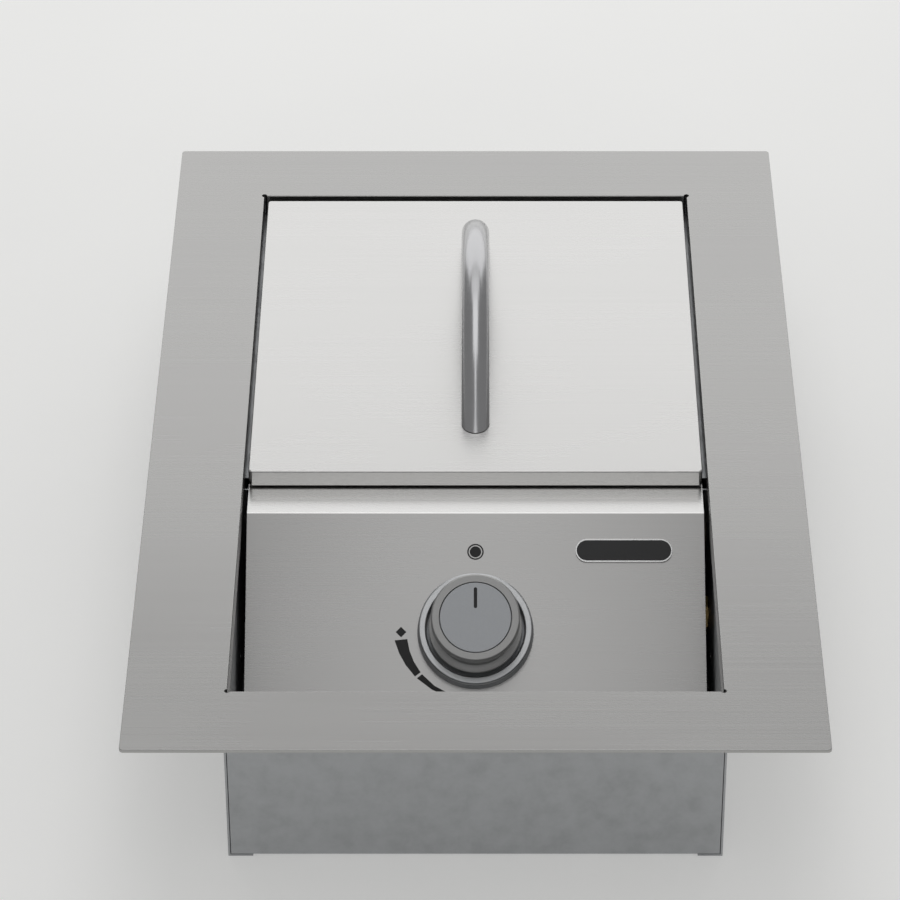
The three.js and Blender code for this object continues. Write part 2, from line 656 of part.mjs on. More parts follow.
function lidShell() {
  const outline = roundedRectangle(LID_WIDTH, LID_DEPTH, LID_CORNER, LID_MIDDLE);
  const inside = roundedRectangle(LID_WIDTH - 2 * SHEET, LID_DEPTH - 2 * SHEET, LID_CORNER / 2, LID_MIDDLE);
  const window = block(
    -LID_WIDTH / 2 + LID_HEM,
    LID_WIDTH / 2 - LID_HEM,
    LID_FRONT + LID_HEM,
    LID_BACK - LID_HEM,
    LID_FOOT - OVERRUN,
    LID_UNDERSIDE,
  );
  const holes = Object.values(HANDLE_FOOT_YS).map((y) => {
    const hole = rod(HANDLE_SCREW_RADIUS + FIT, LID_FOOT, BODY_HEIGHT + OVERRUN, SCREW_SIDES);
    return hole.translate(0, y, 0);
  });
  const shell = slab(outline, LID_FOOT, BODY_HEIGHT);
  return cut(shell, slab(inside, LID_FOOT + SHEET, LID_UNDERSIDE), window, ...holes);
}

// Handle: one round bar on a circular arc, cut flat where it stands on the lid
class HandleArc extends THREE.Curve {
  constructor(radius, halfAngle, centre) {
    super();
    this.bend = radius;
    this.halfAngle = halfAngle;
    this.centre = centre;
  }

  getPoint(t, target = new THREE.Vector3()) {
    const angle = this.halfAngle * (2 * t - 1);
    const y = this.centre.y + this.bend * Math.sin(angle);
    return target.set(0, y, this.centre.z + this.bend * Math.cos(angle));
  }
}

const FOOT_ANGLE = THREE.MathUtils.degToRad(HANDLE_FOOT_ANGLE);
const HANDLE_BEND = HANDLE_SPAN / 2 / Math.sin(FOOT_ANGLE);
const HANDLE_CENTRE = new THREE.Vector3(0, LID_MIDDLE, BODY_HEIGHT - HANDLE_BEND * Math.cos(FOOT_ANGLE));
const HANDLE_SEAT = BODY_HEIGHT + FIT;

function lidHandle() {
  const beyond = HANDLE_DIAMETER / HANDLE_BEND;
  const arc = new HandleArc(HANDLE_BEND, FOOT_ANGLE + beyond, HANDLE_CENTRE);
  const bar = tube(arc, HANDLE_BAR_RADIUS, HANDLE_SIDES, HANDLE_STEPS);
  const below = block(
    -HANDLE_DIAMETER,
    HANDLE_DIAMETER,
    LID_MIDDLE - HANDLE_SPAN,
    LID_MIDDLE + HANDLE_SPAN,
    BODY_HEIGHT - HANDLE_SPAN,
    HANDLE_SEAT,
  );
  const holes = Object.values(HANDLE_FOOT_YS).map((y) => {
    const head = HANDLE_SEAT + HANDLE_SCREW_REACH + FIT;
    return rod(HANDLE_SCREW_RADIUS + FIT, BODY_HEIGHT, head, SCREW_SIDES).translate(0, y, 0);
  });
  return cut(bar, below, ...holes);
}

function handleScrew() {
  const seat = LID_UNDERSIDE - FIT;
  return turned(
    [
      [0, seat - HANDLE_SCREW_HEAD],
      [HANDLE_SCREW_HEAD_RADIUS, seat - HANDLE_SCREW_HEAD],
      [HANDLE_SCREW_HEAD_RADIUS, seat],
      [HANDLE_SCREW_RADIUS, seat],
      [HANDLE_SCREW_RADIUS, HANDLE_SEAT + HANDLE_SCREW_REACH],
      [0, HANDLE_SEAT + HANDLE_SCREW_REACH],
    ],
    SCREW_SIDES,
  );
}

add("lid_shell", lidShell(), BRUSHED);
add("lid_handle", lidHandle(), POLISHED);
for (const [end, y] of Object.entries(HANDLE_FOOT_YS)) {
  add(`handle_screw_${end}`, handleScrew().translate(0, y, 0), SATIN);
}

// Control panel: shelf, slope, recess floor and front leg folded from one sheet, with side stiffeners
const PANEL_SIDE = OPENING_SIDE - PANEL_SIDE_GAP;
const LEG_FOOT = PAN_TOP + FIT;

function controlPanel() {
  const half = Math.tan(TILT / 2) * SHEET; // shift of each bend on the sheet's hidden face
  const sheet = section(
    [
      [SHELF_BACK, SHELF_TOP],
      [BEND_Y, SHELF_TOP],
      [SLOPE_FOOT.y, SLOPE_FOOT.z],
      [FLOOR_FRONT, SLOPE_FOOT.z],
      [FLOOR_FRONT, LEG_FOOT],
      [FLOOR_FRONT + SHEET, LEG_FOOT],
      [FLOOR_FRONT + SHEET, SLOPE_FOOT.z - SHEET],
      [SLOPE_FOOT.y + half, SLOPE_FOOT.z - SHEET],
      [BEND_Y + half, SHELF_UNDERSIDE],
      [SHELF_BACK, SHELF_UNDERSIDE],
    ],
    -PANEL_SIDE,
    PANEL_SIDE,
  );
  const inset = PANEL_NORMAL.clone().multiplyScalar(-SHEET / 2);
  const flange = PANEL_NORMAL.clone().multiplyScalar(-PANEL_FLANGE);
  const cornerAt = (distance, offset) => {
    const p = BEND.clone().addScaledVector(UP_SLOPE, -distance).add(offset);
    return [p.y, p.z];
  };
  const stiffener = [
    cornerAt(SHEET, inset),
    cornerAt(PANEL_LENGTH - SHEET, inset),
    cornerAt(PANEL_LENGTH - 2 * PANEL_FLANGE, flange),
    cornerAt(SHEET, flange),
  ];
  const left = section(stiffener, -PANEL_SIDE, -PANEL_SIDE + SHEET);
  const right = section(stiffener, PANEL_SIDE - SHEET, PANEL_SIDE);
  const below = -SHEET - OVERRUN;
  const tools = [onKnobAxis(rod(STEM_HOLE_RADIUS, below, OVERRUN))];
  for (const side of [-1, 1]) {
    const hole = rod(PANEL_SCREW_RADIUS + FIT, below, OVERRUN, SCREW_SIDES);
    tools.push(onKnobAxis(hole.translate((side * PANEL_SCREW_SPACING) / 2, 0, 0)));
    const drain = rod(DRAIN_RADIUS, 0, SLOPE_FOOT.z + OVERRUN, SCREW_SIDES);
    tools.push(drain.translate((side * DRAIN_SPACING) / 2, DRAIN_Y, 0));
  }
  return cut(join(sheet, left, right), ...tools);
}

// Moves a piece from the knob's own frame, with +Z out of the panel and +Y up the slope, to its place
function onKnobAxis(geometry) {
  return geometry.rotateX(TILT).translate(KNOB_PLACE.x, KNOB_PLACE.y, KNOB_PLACE.z);
}

// Bulkhead between the control space and the burner, folded back under the shelf and forwards on the pan
function bulkhead() {
  const wide = WALL_SIDE - FIT;
  const head = SHELF_UNDERSIDE - FIT;
  const foot = PAN_TOP + FIT;
  const wall = block(-wide, wide, BULKHEAD_FACE, BULKHEAD_BACK, foot, LEDGE_TOP - SHEET);
  const neck = block(-PANEL_SIDE, PANEL_SIDE, BULKHEAD_FACE, BULKHEAD_BACK, foot, head);
  const shelf = block(-PANEL_SIDE, PANEL_SIDE, BULKHEAD_FACE, SHELF_BACK, head - SHEET, head);
  const toeFront = BULKHEAD_FACE - BULKHEAD_FLANGE;
  const toe = block(-PANEL_SIDE, PANEL_SIDE, toeFront, BULKHEAD_BACK, foot, foot + SHEET);
  const across = (radius, x, z) => {
    const hole = rod(radius, -OVERRUN, SHEET + OVERRUN, SCREW_SIDES);
    return alongY(hole).translate(x, BULKHEAD_FACE, z);
  };
  return cut(
    join(wall, neck, shelf, toe),
    across(HOLDER_NECK_RADIUS + FIT, 0, VENTURI_HEIGHT),
    across(GROMMET_HOLE_RADIUS, ELECTRODE_OFFSET, LEAD_LEVEL),
  );
}

add("control_panel", controlPanel(), BRUSHED);
add("burner_bulkhead", bulkhead(), GALVANISED);

// Knob group: its frame sits on the panel at the knob's axis
const knobGroup = new THREE.Group();
knobGroup.position.copy(KNOB_PLACE);
knobGroup.rotation.x = TILT;
group.add(knobGroup);

function screwHoles(radius, z0, z1) {
  return [-1, 1].map((side) => {
    return rod(radius, z0, z1, SCREW_SIDES).translate((side * PANEL_SCREW_SPACING) / 2, 0, 0);
  });
}

// Bezel cup, open at the top, with the bright ring seated on its wall
const RING_BASE = BEZEL_HEIGHT - BEZEL_RING;
const CUP_WALL_TOP = RING_BASE - FIT;
const CUP_FLOOR_TOP = FIT + BEZEL_FLOOR;

function bezelCup() {
  const bore = BEZEL_RADIUS - BEZEL_WALL;
  const cup = turned([
    [STEM_HOLE_RADIUS, FIT],
    [BEZEL_RADIUS + BEZEL_FLOOR / 2, FIT],
    [BEZEL_RADIUS, CUP_WALL_TOP],
    [bore, CUP_WALL_TOP],
    [bore, CUP_FLOOR_TOP],
    [STEM_HOLE_RADIUS, CUP_FLOOR_TOP],
  ]);
  return cut(cup, ...screwHoles(PANEL_SCREW_RADIUS + FIT, 0, BEZEL_HEIGHT));
}

function bezelRing() {
  const edge = BEZEL_RING / 4;
  return turned([
    [BEZEL_BORE_RADIUS + edge / 2, RING_BASE],
    [BEZEL_RADIUS, RING_BASE],
    [BEZEL_RADIUS, BEZEL_HEIGHT - edge],
    [BEZEL_RADIUS - edge, BEZEL_HEIGHT],
    [BEZEL_BORE_RADIUS + edge, BEZEL_HEIGHT],
    [BEZEL_BORE_RADIUS, BEZEL_HEIGHT - edge],
  ]);
}

// Knob: a spool with a rim, a waist and a base flange, hollow behind its top, and an inset disc
const DISC_SEAT = KNOB_FACE_HEIGHT - KNOB_DISC;
const WEB_UNDERSIDE = DISC_SEAT - KNOB_WEB;
const HUB_BORE = STEM_RADIUS + FIT;
const WAIST_HEIGHT = (KNOB_BASE_HEIGHT + KNOB_FACE_HEIGHT) / 2 - KNOB_WALL;

function knobShell() {
  const rimDrop = KNOB_DISC;
  const flange = KNOB_BASE_HEIGHT + KNOB_WALL / 2;
  const shoulder = KNOB_RIM_RADIUS - KNOB_WALL / 2;
  const inWaist = KNOB_WAIST_RADIUS - KNOB_WALL;
  return turned([
    [HUB_BORE, HUB_HEIGHT],
    [HUB_RADIUS, HUB_HEIGHT],
    [HUB_RADIUS, WEB_UNDERSIDE],
    [shoulder - KNOB_WALL, WEB_UNDERSIDE],
    [inWaist, WAIST_HEIGHT + KNOB_WALL],
    [inWaist, WAIST_HEIGHT - KNOB_WALL],
    [KNOB_RIM_RADIUS - KNOB_WALL, KNOB_BASE_HEIGHT],
    [KNOB_BASE_RADIUS, KNOB_BASE_HEIGHT],
    [KNOB_BASE_RADIUS, flange],
    [KNOB_RIM_RADIUS - KNOB_WALL / 4, flange + KNOB_WALL / 2],
    [KNOB_WAIST_RADIUS + KNOB_WALL / 4, WAIST_HEIGHT - KNOB_WALL],
    [KNOB_WAIST_RADIUS, WAIST_HEIGHT],
    [KNOB_WAIST_RADIUS + KNOB_WALL / 4, WAIST_HEIGHT + KNOB_WALL],
    [shoulder, WEB_UNDERSIDE],
    [KNOB_RIM_RADIUS, KNOB_FACE_HEIGHT - rimDrop],
    [KNOB_RIM_RADIUS - KNOB_WALL / 4, KNOB_FACE_HEIGHT - KNOB_WALL / 4],
    [KNOB_RIM_RADIUS - KNOB_WALL / 2, KNOB_FACE_HEIGHT],
    [KNOB_DISC_RADIUS + FIT, KNOB_FACE_HEIGHT],
    [KNOB_DISC_RADIUS + FIT, DISC_SEAT],
    [HUB_BORE, DISC_SEAT],
  ]);
}

function knobDisc() {
  const edge = KNOB_DISC / 4;
  return turned([
    [0, DISC_SEAT + FIT],
    [KNOB_DISC_RADIUS, DISC_SEAT + FIT],
    [KNOB_DISC_RADIUS, KNOB_FACE_HEIGHT - edge],
    [KNOB_DISC_RADIUS - edge, KNOB_FACE_HEIGHT],
    [0, KNOB_FACE_HEIGHT],
  ]);
}

// Stem: round, with a D flat where it drives the knob
function valveStem() {
  const top = DISC_SEAT - FIT;
  const flatFoot = HUB_HEIGHT;
  const stem = rod(STEM_RADIUS, -STEM_DEPTH, top, SCREW_SIDES);
  const [near, far] = [STEM_RADIUS - STEM_FLAT, 2 * STEM_RADIUS];
  const flat = block(near, far, -STEM_RADIUS, STEM_RADIUS, flatFoot, top + FIT);
  return cut(stem, flat);
}

// Return spring on the stem under the hub, drawn at the length it has with the knob pushed in
class Helix extends THREE.Curve {
  constructor(radius, turns, z0, z1) {
    super();
    Object.assign(this, { radius, turns, z0, z1 });
  }

  getPoint(t, target = new THREE.Vector3()) {
    const angle = 2 * Math.PI * this.turns * t;
    const z = this.z0 + (this.z1 - this.z0) * t;
    return target.set(this.radius * Math.cos(angle), this.radius * Math.sin(angle), z);
  }
}

const BRACKET_TOP = -SHEET - FIT;
const BRACKET_UNDERSIDE = BRACKET_TOP - SHEET;
const BONNET_TOP = BRACKET_UNDERSIDE - FIT;
const BONNET_FOOT = BONNET_TOP - BONNET_HEIGHT;

function returnSpring() {
  const z0 = BONNET_TOP + FIT + KNOB_TRAVEL + SPRING_WIRE_RADIUS;
  const z1 = HUB_HEIGHT - FIT - SPRING_WIRE_RADIUS;
  const helix = new Helix(SPRING_RADIUS - SPRING_WIRE_RADIUS, SPRING_TURNS, z0, z1);
  return tube(helix, SPRING_WIRE_RADIUS, SPRING_SIDES, SPRING_STEPS);
}

add("knob_bezel", bezelCup(), SATIN, knobGroup);
add("bezel_ring", bezelRing(), BRUSHED, knobGroup);
add("knob_shell", knobShell(), SATIN, knobGroup);
add("knob_face", knobDisc(), SATIN, knobGroup);
add("valve_stem", valveStem(), BRASS, knobGroup);
add("valve_spring", returnSpring(), SATIN, knobGroup);

// Valve behind the panel: bracket, bonnet, body with an inlet and an outlet port, and the rotor inside
const VALVE_TOP = BONNET_FOOT - FIT;
const VALVE_FOOT = VALVE_TOP - VALVE_LENGTH;
const ROTOR_FOOT = VALVE_FOOT + VALVE_FLOOR + FIT;

function valveBracket() {
  const plate = block(
    -BRACKET_WIDTH / 2,
    BRACKET_WIDTH / 2,
    -BRACKET_HEIGHT / 2,
    BRACKET_HEIGHT / 2,
    BRACKET_UNDERSIDE,
    BRACKET_TOP,
  );
  const [z0, z1] = [BRACKET_UNDERSIDE - OVERRUN, OVERRUN];
  return cut(plate, rod(STEM_HOLE_RADIUS, z0, z1), ...screwHoles(PANEL_SCREW_RADIUS + FIT, z0, z1));
}

function valveBody() {
  const barrel = rod(VALVE_RADIUS, VALVE_FOOT, VALVE_TOP);
  const ports = alongX(rod(BOSS_RADIUS, -BOSS_REACH, BOSS_REACH)).translate(0, 0, -BOSS_LEVEL);
  const chamber = rod(ROTOR_RADIUS + FIT, VALVE_FOOT + VALVE_FLOOR, VALVE_TOP + OVERRUN);
  const passage = rod(PORT_RADIUS, -BOSS_REACH - OVERRUN, BOSS_REACH + OVERRUN, SCREW_SIDES);
  return cut(join(barrel, ports), chamber, alongX(passage).translate(0, 0, -BOSS_LEVEL));
}

// The rotor drives off the stem; a cross bore opens the way between the ports
function valveRotor() {
  const top = ROTOR_FOOT + ROTOR_LENGTH;
  const rotor = rod(ROTOR_RADIUS, ROTOR_FOOT, top);
  const bore = rod(STEM_RADIUS + FIT, ROTOR_FOOT + ROTOR_FLOOR, top + OVERRUN, SCREW_SIDES);
  const passage = rod(PORT_RADIUS, -ROTOR_RADIUS - OVERRUN, ROTOR_RADIUS + OVERRUN, SCREW_SIDES);
  return cut(rotor, bore, alongX(passage).translate(0, 0, -BOSS_LEVEL));
}

function panelScrew() {
  const seat = CUP_FLOOR_TOP + FIT;
  return turned(
    [
      [0, BRACKET_UNDERSIDE - PANEL_SCREW_LENGTH],
      [PANEL_SCREW_RADIUS, BRACKET_UNDERSIDE - PANEL_SCREW_LENGTH],
      [PANEL_SCREW_RADIUS, seat],
      [PANEL_SCREW_HEAD_RADIUS, seat],
      [PANEL_SCREW_HEAD_RADIUS, seat + PANEL_SCREW_HEAD / 2],
      [PANEL_SCREW_RADIUS, seat + PANEL_SCREW_HEAD],
      [0, seat + PANEL_SCREW_HEAD],
    ],
    SCREW_SIDES,
  );
}

function badgePlate() {
  const centre = KNOB_DROP - BADGE_DROP;
  const outline = roundedRectangle(BADGE_LENGTH, BADGE_HEIGHT, BADGE_HEIGHT / 2, centre);
  return slab(outline, FIT, FIT + BADGE_THICKNESS, BADGE_STEPS).translate(BADGE_OFFSET, 0, 0);
}

add("badge_plate", badgePlate(), BLACK, knobGroup);
add("valve_bracket", valveBracket(), GALVANISED, knobGroup);
add("valve_bonnet", ring(STEM_RADIUS + FIT, BONNET_RADIUS, BONNET_FOOT, BONNET_TOP), BRASS, knobGroup);
add("valve_body", valveBody(), BRASS, knobGroup);
add("valve_rotor", valveRotor(), BRASS, knobGroup);
for (const [name, side] of [["left", -1], ["right", 1]]) {
  const screw = panelScrew().translate((side * PANEL_SCREW_SPACING) / 2, 0, 0);
  add(`panel_screw_${name}`, screw, SATIN, knobGroup);
}

// Burner body: mixing tube from its open mouth to a riser and a cup over the bowl
function burnerBase() {
  const reach = BURNER_Y - MOUTH_Y;
  const outerTube = alongY(rod(VENTURI_RADIUS, 0, reach)).translate(0, MOUTH_Y, VENTURI_HEIGHT);
  const riserHead = CUP_BASE + VENTURI_WALL;
  const riser = rod(RISER_RADIUS, VENTURI_HEIGHT - VENTURI_RADIUS, riserHead).translate(0, BURNER_Y, 0);
  const cup = rod(BURNER_CUP_RADIUS, CUP_BASE, CUP_TOP).translate(0, BURNER_Y, 0);
  const boreRadius = VENTURI_RADIUS - VENTURI_WALL;
  const bore = alongY(rod(boreRadius, -OVERRUN, reach)).translate(0, MOUTH_Y, VENTURI_HEIGHT);
  const shaft = rod(RISER_RADIUS - VENTURI_WALL, VENTURI_HEIGHT - boreRadius, CUP_TOP + OVERRUN);
  const bowl = rod(BURNER_CUP_RADIUS - VENTURI_WALL, CUP_BASE + VENTURI_WALL, CUP_TOP + OVERRUN);
  const cutters = [shaft, bowl].map((tool) => tool.translate(0, BURNER_Y, 0));
  return cut(join(outerTube, riser, cup), bore, ...cutters);
}

// Head with flame ports cut through its wall; cap with a rim resting on the head
function burnerHead() {
  const head = turned([
    [BURNER_HEAD_BORE, HEAD_BASE],
    [BURNER_CUP_RADIUS, HEAD_BASE],
    [BURNER_HEAD_RADIUS, HEAD_BASE + CAP_LAND],
    [BURNER_HEAD_RADIUS, HEAD_TOP],
    [BURNER_HEAD_BORE, HEAD_TOP],
  ]).translate(0, BURNER_Y, 0);
  const ports = [];
  for (let i = 0; i < BURNER_PORTS; i += 1) {
    const port = block(
      BURNER_HEAD_BORE - OVERRUN,
      BURNER_HEAD_RADIUS + OVERRUN,
      -PORT_WIDTH / 2,
      PORT_WIDTH / 2,
      HEAD_TOP - PORT_DEPTH,
      HEAD_TOP + OVERRUN,
    );
    ports.push(port.rotateZ((2 * Math.PI * (i + 0.5)) / BURNER_PORTS).translate(0, BURNER_Y, 0));
  }
  return cut(head, ...ports);
}

function burnerCap() {
  const spigot = BURNER_HEAD_BORE - FIT;
  return turned([
    [0, CAP_BASE - CAP_LAND],
    [spigot, CAP_BASE - CAP_LAND],
    [spigot, CAP_BASE],
    [CAP_RADIUS, CAP_BASE],
    [CAP_RADIUS, CAP_BASE + CAP_LAND],
    [CAP_RADIUS - CAP_LAND, CAP_BASE + CAP_HEIGHT - CAP_LAND / 2],
    [CAP_RADIUS / 2, CAP_BASE + CAP_HEIGHT],
    [0, CAP_BASE + CAP_HEIGHT],
  ]).translate(0, BURNER_Y, 0);
}

// Air shutter: a sleeve on the mouth with an air window at each side
function airShutter() {
  const bore = VENTURI_RADIUS + FIT;
  const sleeve = ring(bore, bore + SHUTTER_WALL, 0, SHUTTER_LENGTH);
  const wide = 2 * VENTURI_RADIUS;
  const half = SHUTTER_WINDOW / 2;
  const window = block(-wide, wide, -half, half, SHUTTER_LENGTH / 3, SHUTTER_LENGTH - OVERRUN);
  return alongY(cut(sleeve, window)).translate(0, MOUTH_Y - SHUTTER_LENGTH / 3, VENTURI_HEIGHT);
}

// Burner bracket: a saddle under the mixing tube, its feet screwed to the bottom pan
function burnerBracket() {
  const base = PAN_TOP + FIT;
  const seat = VENTURI_HEIGHT;
  const side = BURNER_BRACKET_WIDTH / 2;
  const half = BURNER_BRACKET_DEPTH / 2;
  const [y0, y1] = [BRACKET_Y - half, BRACKET_Y + half];
  const hat = block(-side, side, y0, y1, base, seat);
  const feet = block(-side - BRACKET_FOOT, side + BRACKET_FOOT, y0, y1, base, base + SHEET);
  const inside = block(
    -side + SHEET,
    side - SHEET,
    y0 - OVERRUN,
    y1 + OVERRUN,
    base - OVERRUN,
    seat - VENTURI_RADIUS - FIT - SHEET,
  );
  const saddle = alongY(rod(VENTURI_RADIUS + FIT, -half - OVERRUN, half + OVERRUN));
  const holes = [-1, 1].map((way) => {
    const hole = rod(SCREW_RADIUS + FIT, 0, base + SHEET + OVERRUN, SCREW_SIDES);
    return hole.translate(way * BRACKET_SCREW_X, BRACKET_Y, 0);
  });
  return cut(join(hat, feet), inside, saddle.translate(0, BRACKET_Y, VENTURI_HEIGHT), ...holes);
}

function bracketScrew() {
  const seat = PAN_TOP + FIT + SHEET + FIT;
  return turned(
    [
      [0, FIT],
      [SCREW_RADIUS, FIT],
      [SCREW_RADIUS, seat],
      [SCREW_HEAD_RADIUS, seat],
      [SCREW_HEAD_RADIUS, seat + SCREW_HEAD / 2],
      [SCREW_RADIUS, seat + SCREW_HEAD],
      [0, seat + SCREW_HEAD],
    ],
    SCREW_SIDES,
  );
}

add("burner_base", burnerBase(), CAST);
add("burner_head", burnerHead(), CAST);
add("burner_cap", burnerCap(), IRON);
add("air_shutter", airShutter(), GALVANISED);
add("burner_bracket", burnerBracket(), GALVANISED);
for (const [name, side] of [["left", -1], ["right", 1]]) {
  add(`bracket_screw_${name}`, bracketScrew().translate(side * BRACKET_SCREW_X, BRACKET_Y, 0), SATIN);
}

// Rails on the side walls that carry the spill bowl's rim
function bowlRail(side) {
  const outer = WALL_SIDE - FIT;
  const inner = BOWL_WIDTH / 2 + FIT;
  const [y0, y1] = [BULKHEAD_BACK + CORNER_TAB, WALL_REAR - 2 * CORNER_TAB];
  const leg = block(outer - SHEET, outer, y0, y1, RAIL_HEAD - SUPPORT_HEIGHT, RAIL_HEAD);
  const shelf = block(inner, outer, y0, y1, RAIL_HEAD - SHEET, RAIL_HEAD);
  const rail = join(leg, shelf);
  return side > 0 ? rail : rail.scale(-1, 1, 1);
}

// Spill bowl: rim, straight walls with round corners, a floor with holes for the burner and electrode
function spillBowl() {
  const rim = roundedRectangle(BOWL_RIM_WIDTH, BOWL_RIM_DEPTH, BOWL_CORNER / 2, BOWL_MIDDLE);
  const outside = roundedRectangle(BOWL_WIDTH, BOWL_DEPTH, BOWL_CORNER, BOWL_MIDDLE);
  const inside = roundedRectangle(
    BOWL_WIDTH - 2 * SHEET,
    BOWL_DEPTH - 2 * SHEET,
    BOWL_CORNER - SHEET,
    BOWL_MIDDLE,
  );
  const tub = join(slab(rim, BOWL_RIM_LEVEL, BOWL_SEAT), slab(outside, BOWL_FLOOR - SHEET, BOWL_SEAT));
  const [z0, z1] = [BOWL_FLOOR - SHEET - OVERRUN, BOWL_SEAT];
  return cut(
    tub,
    slab(inside, BOWL_FLOOR, BOWL_SEAT + OVERRUN),
    rod(BOWL_HOLE_RADIUS, z0, z1).translate(0, BURNER_Y, 0),
    rod(ELECTRODE_RADIUS + FIT, z0, z1, SCREW_SIDES).translate(ELECTRODE_OFFSET, BURNER_Y, 0),
  );
}

// Grate: square frame with cross bars, a ring over the burner and a foot under each corner
function grateCasting() {
  const [wide, deep] = [GRATE_WIDTH / 2, GRATE_DEPTH / 2];
  const bar = GRATE_BAR / 2;
  const foot = GRATE_UNDERSIDE;
  const solids = [];
  for (let i = 0; i <= GRATE_CELLS; i += 1) {
    const x = (2 * i / GRATE_CELLS - 1) * (wide - bar);
    const y = (2 * i / GRATE_CELLS - 1) * (deep - bar);
    solids.push(block(x - bar, x + bar, -deep, deep, foot, GRATE_TOP));
    solids.push(block(-wide, wide, y - bar, y + bar, foot, GRATE_TOP));
  }
  const web = join(...solids);
  const opened = cut(web, rod(GRATE_RING_RADIUS - GRATE_BAR / 4, foot - OVERRUN, GRATE_TOP + OVERRUN));
  const centre = ring(GRATE_RING_BORE, GRATE_RING_RADIUS, foot, GRATE_TOP);
  const feet = [];
  const base = BOWL_SEAT + FIT;
  for (const x of [-1, 1]) {
    for (const y of [-1, 1]) {
      const pad = rod(GRATE_FOOT / 2 / Math.cos(Math.PI / FOOT_SIDES), base, foot + bar, FOOT_SIDES);
      const [footX, footY] = [x * (wide - GRATE_FOOT / 2), y * (deep - GRATE_FOOT / 2)];
      feet.push(pad.rotateZ(Math.PI / FOOT_SIDES).translate(footX, footY, 0));
    }
  }
  return join(opened, centre, ...feet).translate(0, BURNER_Y, 0);
}

add("bowl_rail_left", bowlRail(-1), GALVANISED);
add("bowl_rail_right", bowlRail(1), GALVANISED);
add("spill_bowl", spillBowl(), BRUSHED);
add("grate", grateCasting(), IRON);

// Orifice holder: a nut ahead of the bulkhead, its neck through the sheet, the orifice at its end
const HOLDER_FACE = BULKHEAD_FACE - FIT;
const HOLDER_START = HOLDER_FACE - HOLDER_NUT;
const HOLDER_END = HOLDER_FACE + FIT + HOLDER_LENGTH;
const ORIFICE_START = HOLDER_END + FIT;
const NECK_BORE = HOLDER_NECK_RADIUS / 2;

function orificeHolder() {
  const nut = hexBar(HOLDER_HEX, 0, HOLDER_NUT);
  const neck = rod(HOLDER_NECK_RADIUS, HOLDER_NUT / 2, HOLDER_END - HOLDER_START, SCREW_SIDES);
  const bore = rod(NECK_BORE, -OVERRUN, HOLDER_END - HOLDER_START + OVERRUN, SCREW_SIDES);
  return alongY(cut(join(nut, neck), bore)).translate(0, HOLDER_START, VENTURI_HEIGHT);
}

function orifice() {
  const tip = ORIFICE_RADIUS / 2;
  const spigot = NECK_BORE - FIT;
  const jet = turned(
    [
      [ORIFICE_BORE / 2, -ORIFICE_RADIUS],
      [spigot, -ORIFICE_RADIUS],
      [spigot, 0],
      [HOLDER_NECK_RADIUS, 0],
      [HOLDER_NECK_RADIUS, ORIFICE_LENGTH / 2],
      [ORIFICE_RADIUS, ORIFICE_LENGTH / 2],
      [tip, ORIFICE_LENGTH],
      [ORIFICE_BORE / 2, ORIFICE_LENGTH],
    ],
    SCREW_SIDES,
  );
  return alongY(jet).translate(0, ORIFICE_START, VENTURI_HEIGHT);
}

// Where each valve port opens, and the tubes that meet it face to face
const PORT_LEVEL = PANEL_NORMAL.clone().multiplyScalar(-BOSS_LEVEL).add(KNOB_PLACE);
const LEFTWARDS = new THREE.Vector3(-1, 0, 0);
const RIGHTWARDS = new THREE.Vector3(1, 0, 0);
const REARWARDS = new THREE.Vector3(0, 1, 0);
const INLET_INNER = WALL_SIDE - FIT;

function feedTube() {
  const start = PORT_LEVEL.clone().addScaledVector(LEFTWARDS, BOSS_REACH + FIT);
  const end = new THREE.Vector3(0, HOLDER_START - FIT, VENTURI_HEIGHT);
  const bow = start.clone().addScaledVector(LEFTWARDS, BOSS_REACH / 2);
  bow.y = (2 * start.y + end.y) / 3;
  bow.z = (start.z + end.z) / 2;
  const curve = route([start, bow, end], LEFTWARDS, REARWARDS, 2 * TUBE_RADIUS);
  return tube(curve, TUBE_RADIUS, TUBE_SIDES, TUBE_STEPS);
}

function supplyTube() {
  const start = PORT_LEVEL.clone().addScaledVector(RIGHTWARDS, BOSS_REACH + FIT);
  const end = new THREE.Vector3(INLET_INNER - INLET_NUT - FIT, INLET_Y, INLET_LEVEL);
  const curve = route([start, end], RIGHTWARDS, RIGHTWARDS, 2 * TUBE_RADIUS);
  return tube(curve, TUBE_RADIUS, TUBE_SIDES, TUBE_STEPS);
}

// Inlet: a nut inside the casing, a threaded end outside it, and a lock nut
function inletFitting() {
  const nut = hexBar(INLET_HEX, INLET_INNER - INLET_NUT, INLET_INNER);
  const end = WALL_SIDE + SHEET + INLET_REACH;
  const stub = rod(INLET_RADIUS, INLET_INNER - INLET_NUT / 2, end);
  const bore = rod(INLET_BORE, INLET_INNER - INLET_NUT - OVERRUN, end + OVERRUN, SCREW_SIDES);
  return alongX(cut(join(nut, stub), bore)).translate(0, INLET_Y, INLET_LEVEL);
}

function inletNut() {
  const start = WALL_SIDE + SHEET + FIT;
  const nut = hexBar(INLET_HEX, start, start + INLET_COLLAR);
  const bore = rod(INLET_RADIUS + FIT, start - OVERRUN, start + INLET_COLLAR + OVERRUN);
  return alongX(cut(nut, bore)).translate(0, INLET_Y, INLET_LEVEL);
}

add("jet_holder", orificeHolder(), BRASS);
add("jet_orifice", orifice(), BRASS);
add("burner_feed_tube", feedTube(), SATIN);
add("gas_supply_tube", supplyTube(), SATIN);
add("inlet_fitting", inletFitting(), BRASS);
add("inlet_nut", inletNut(), BRASS);

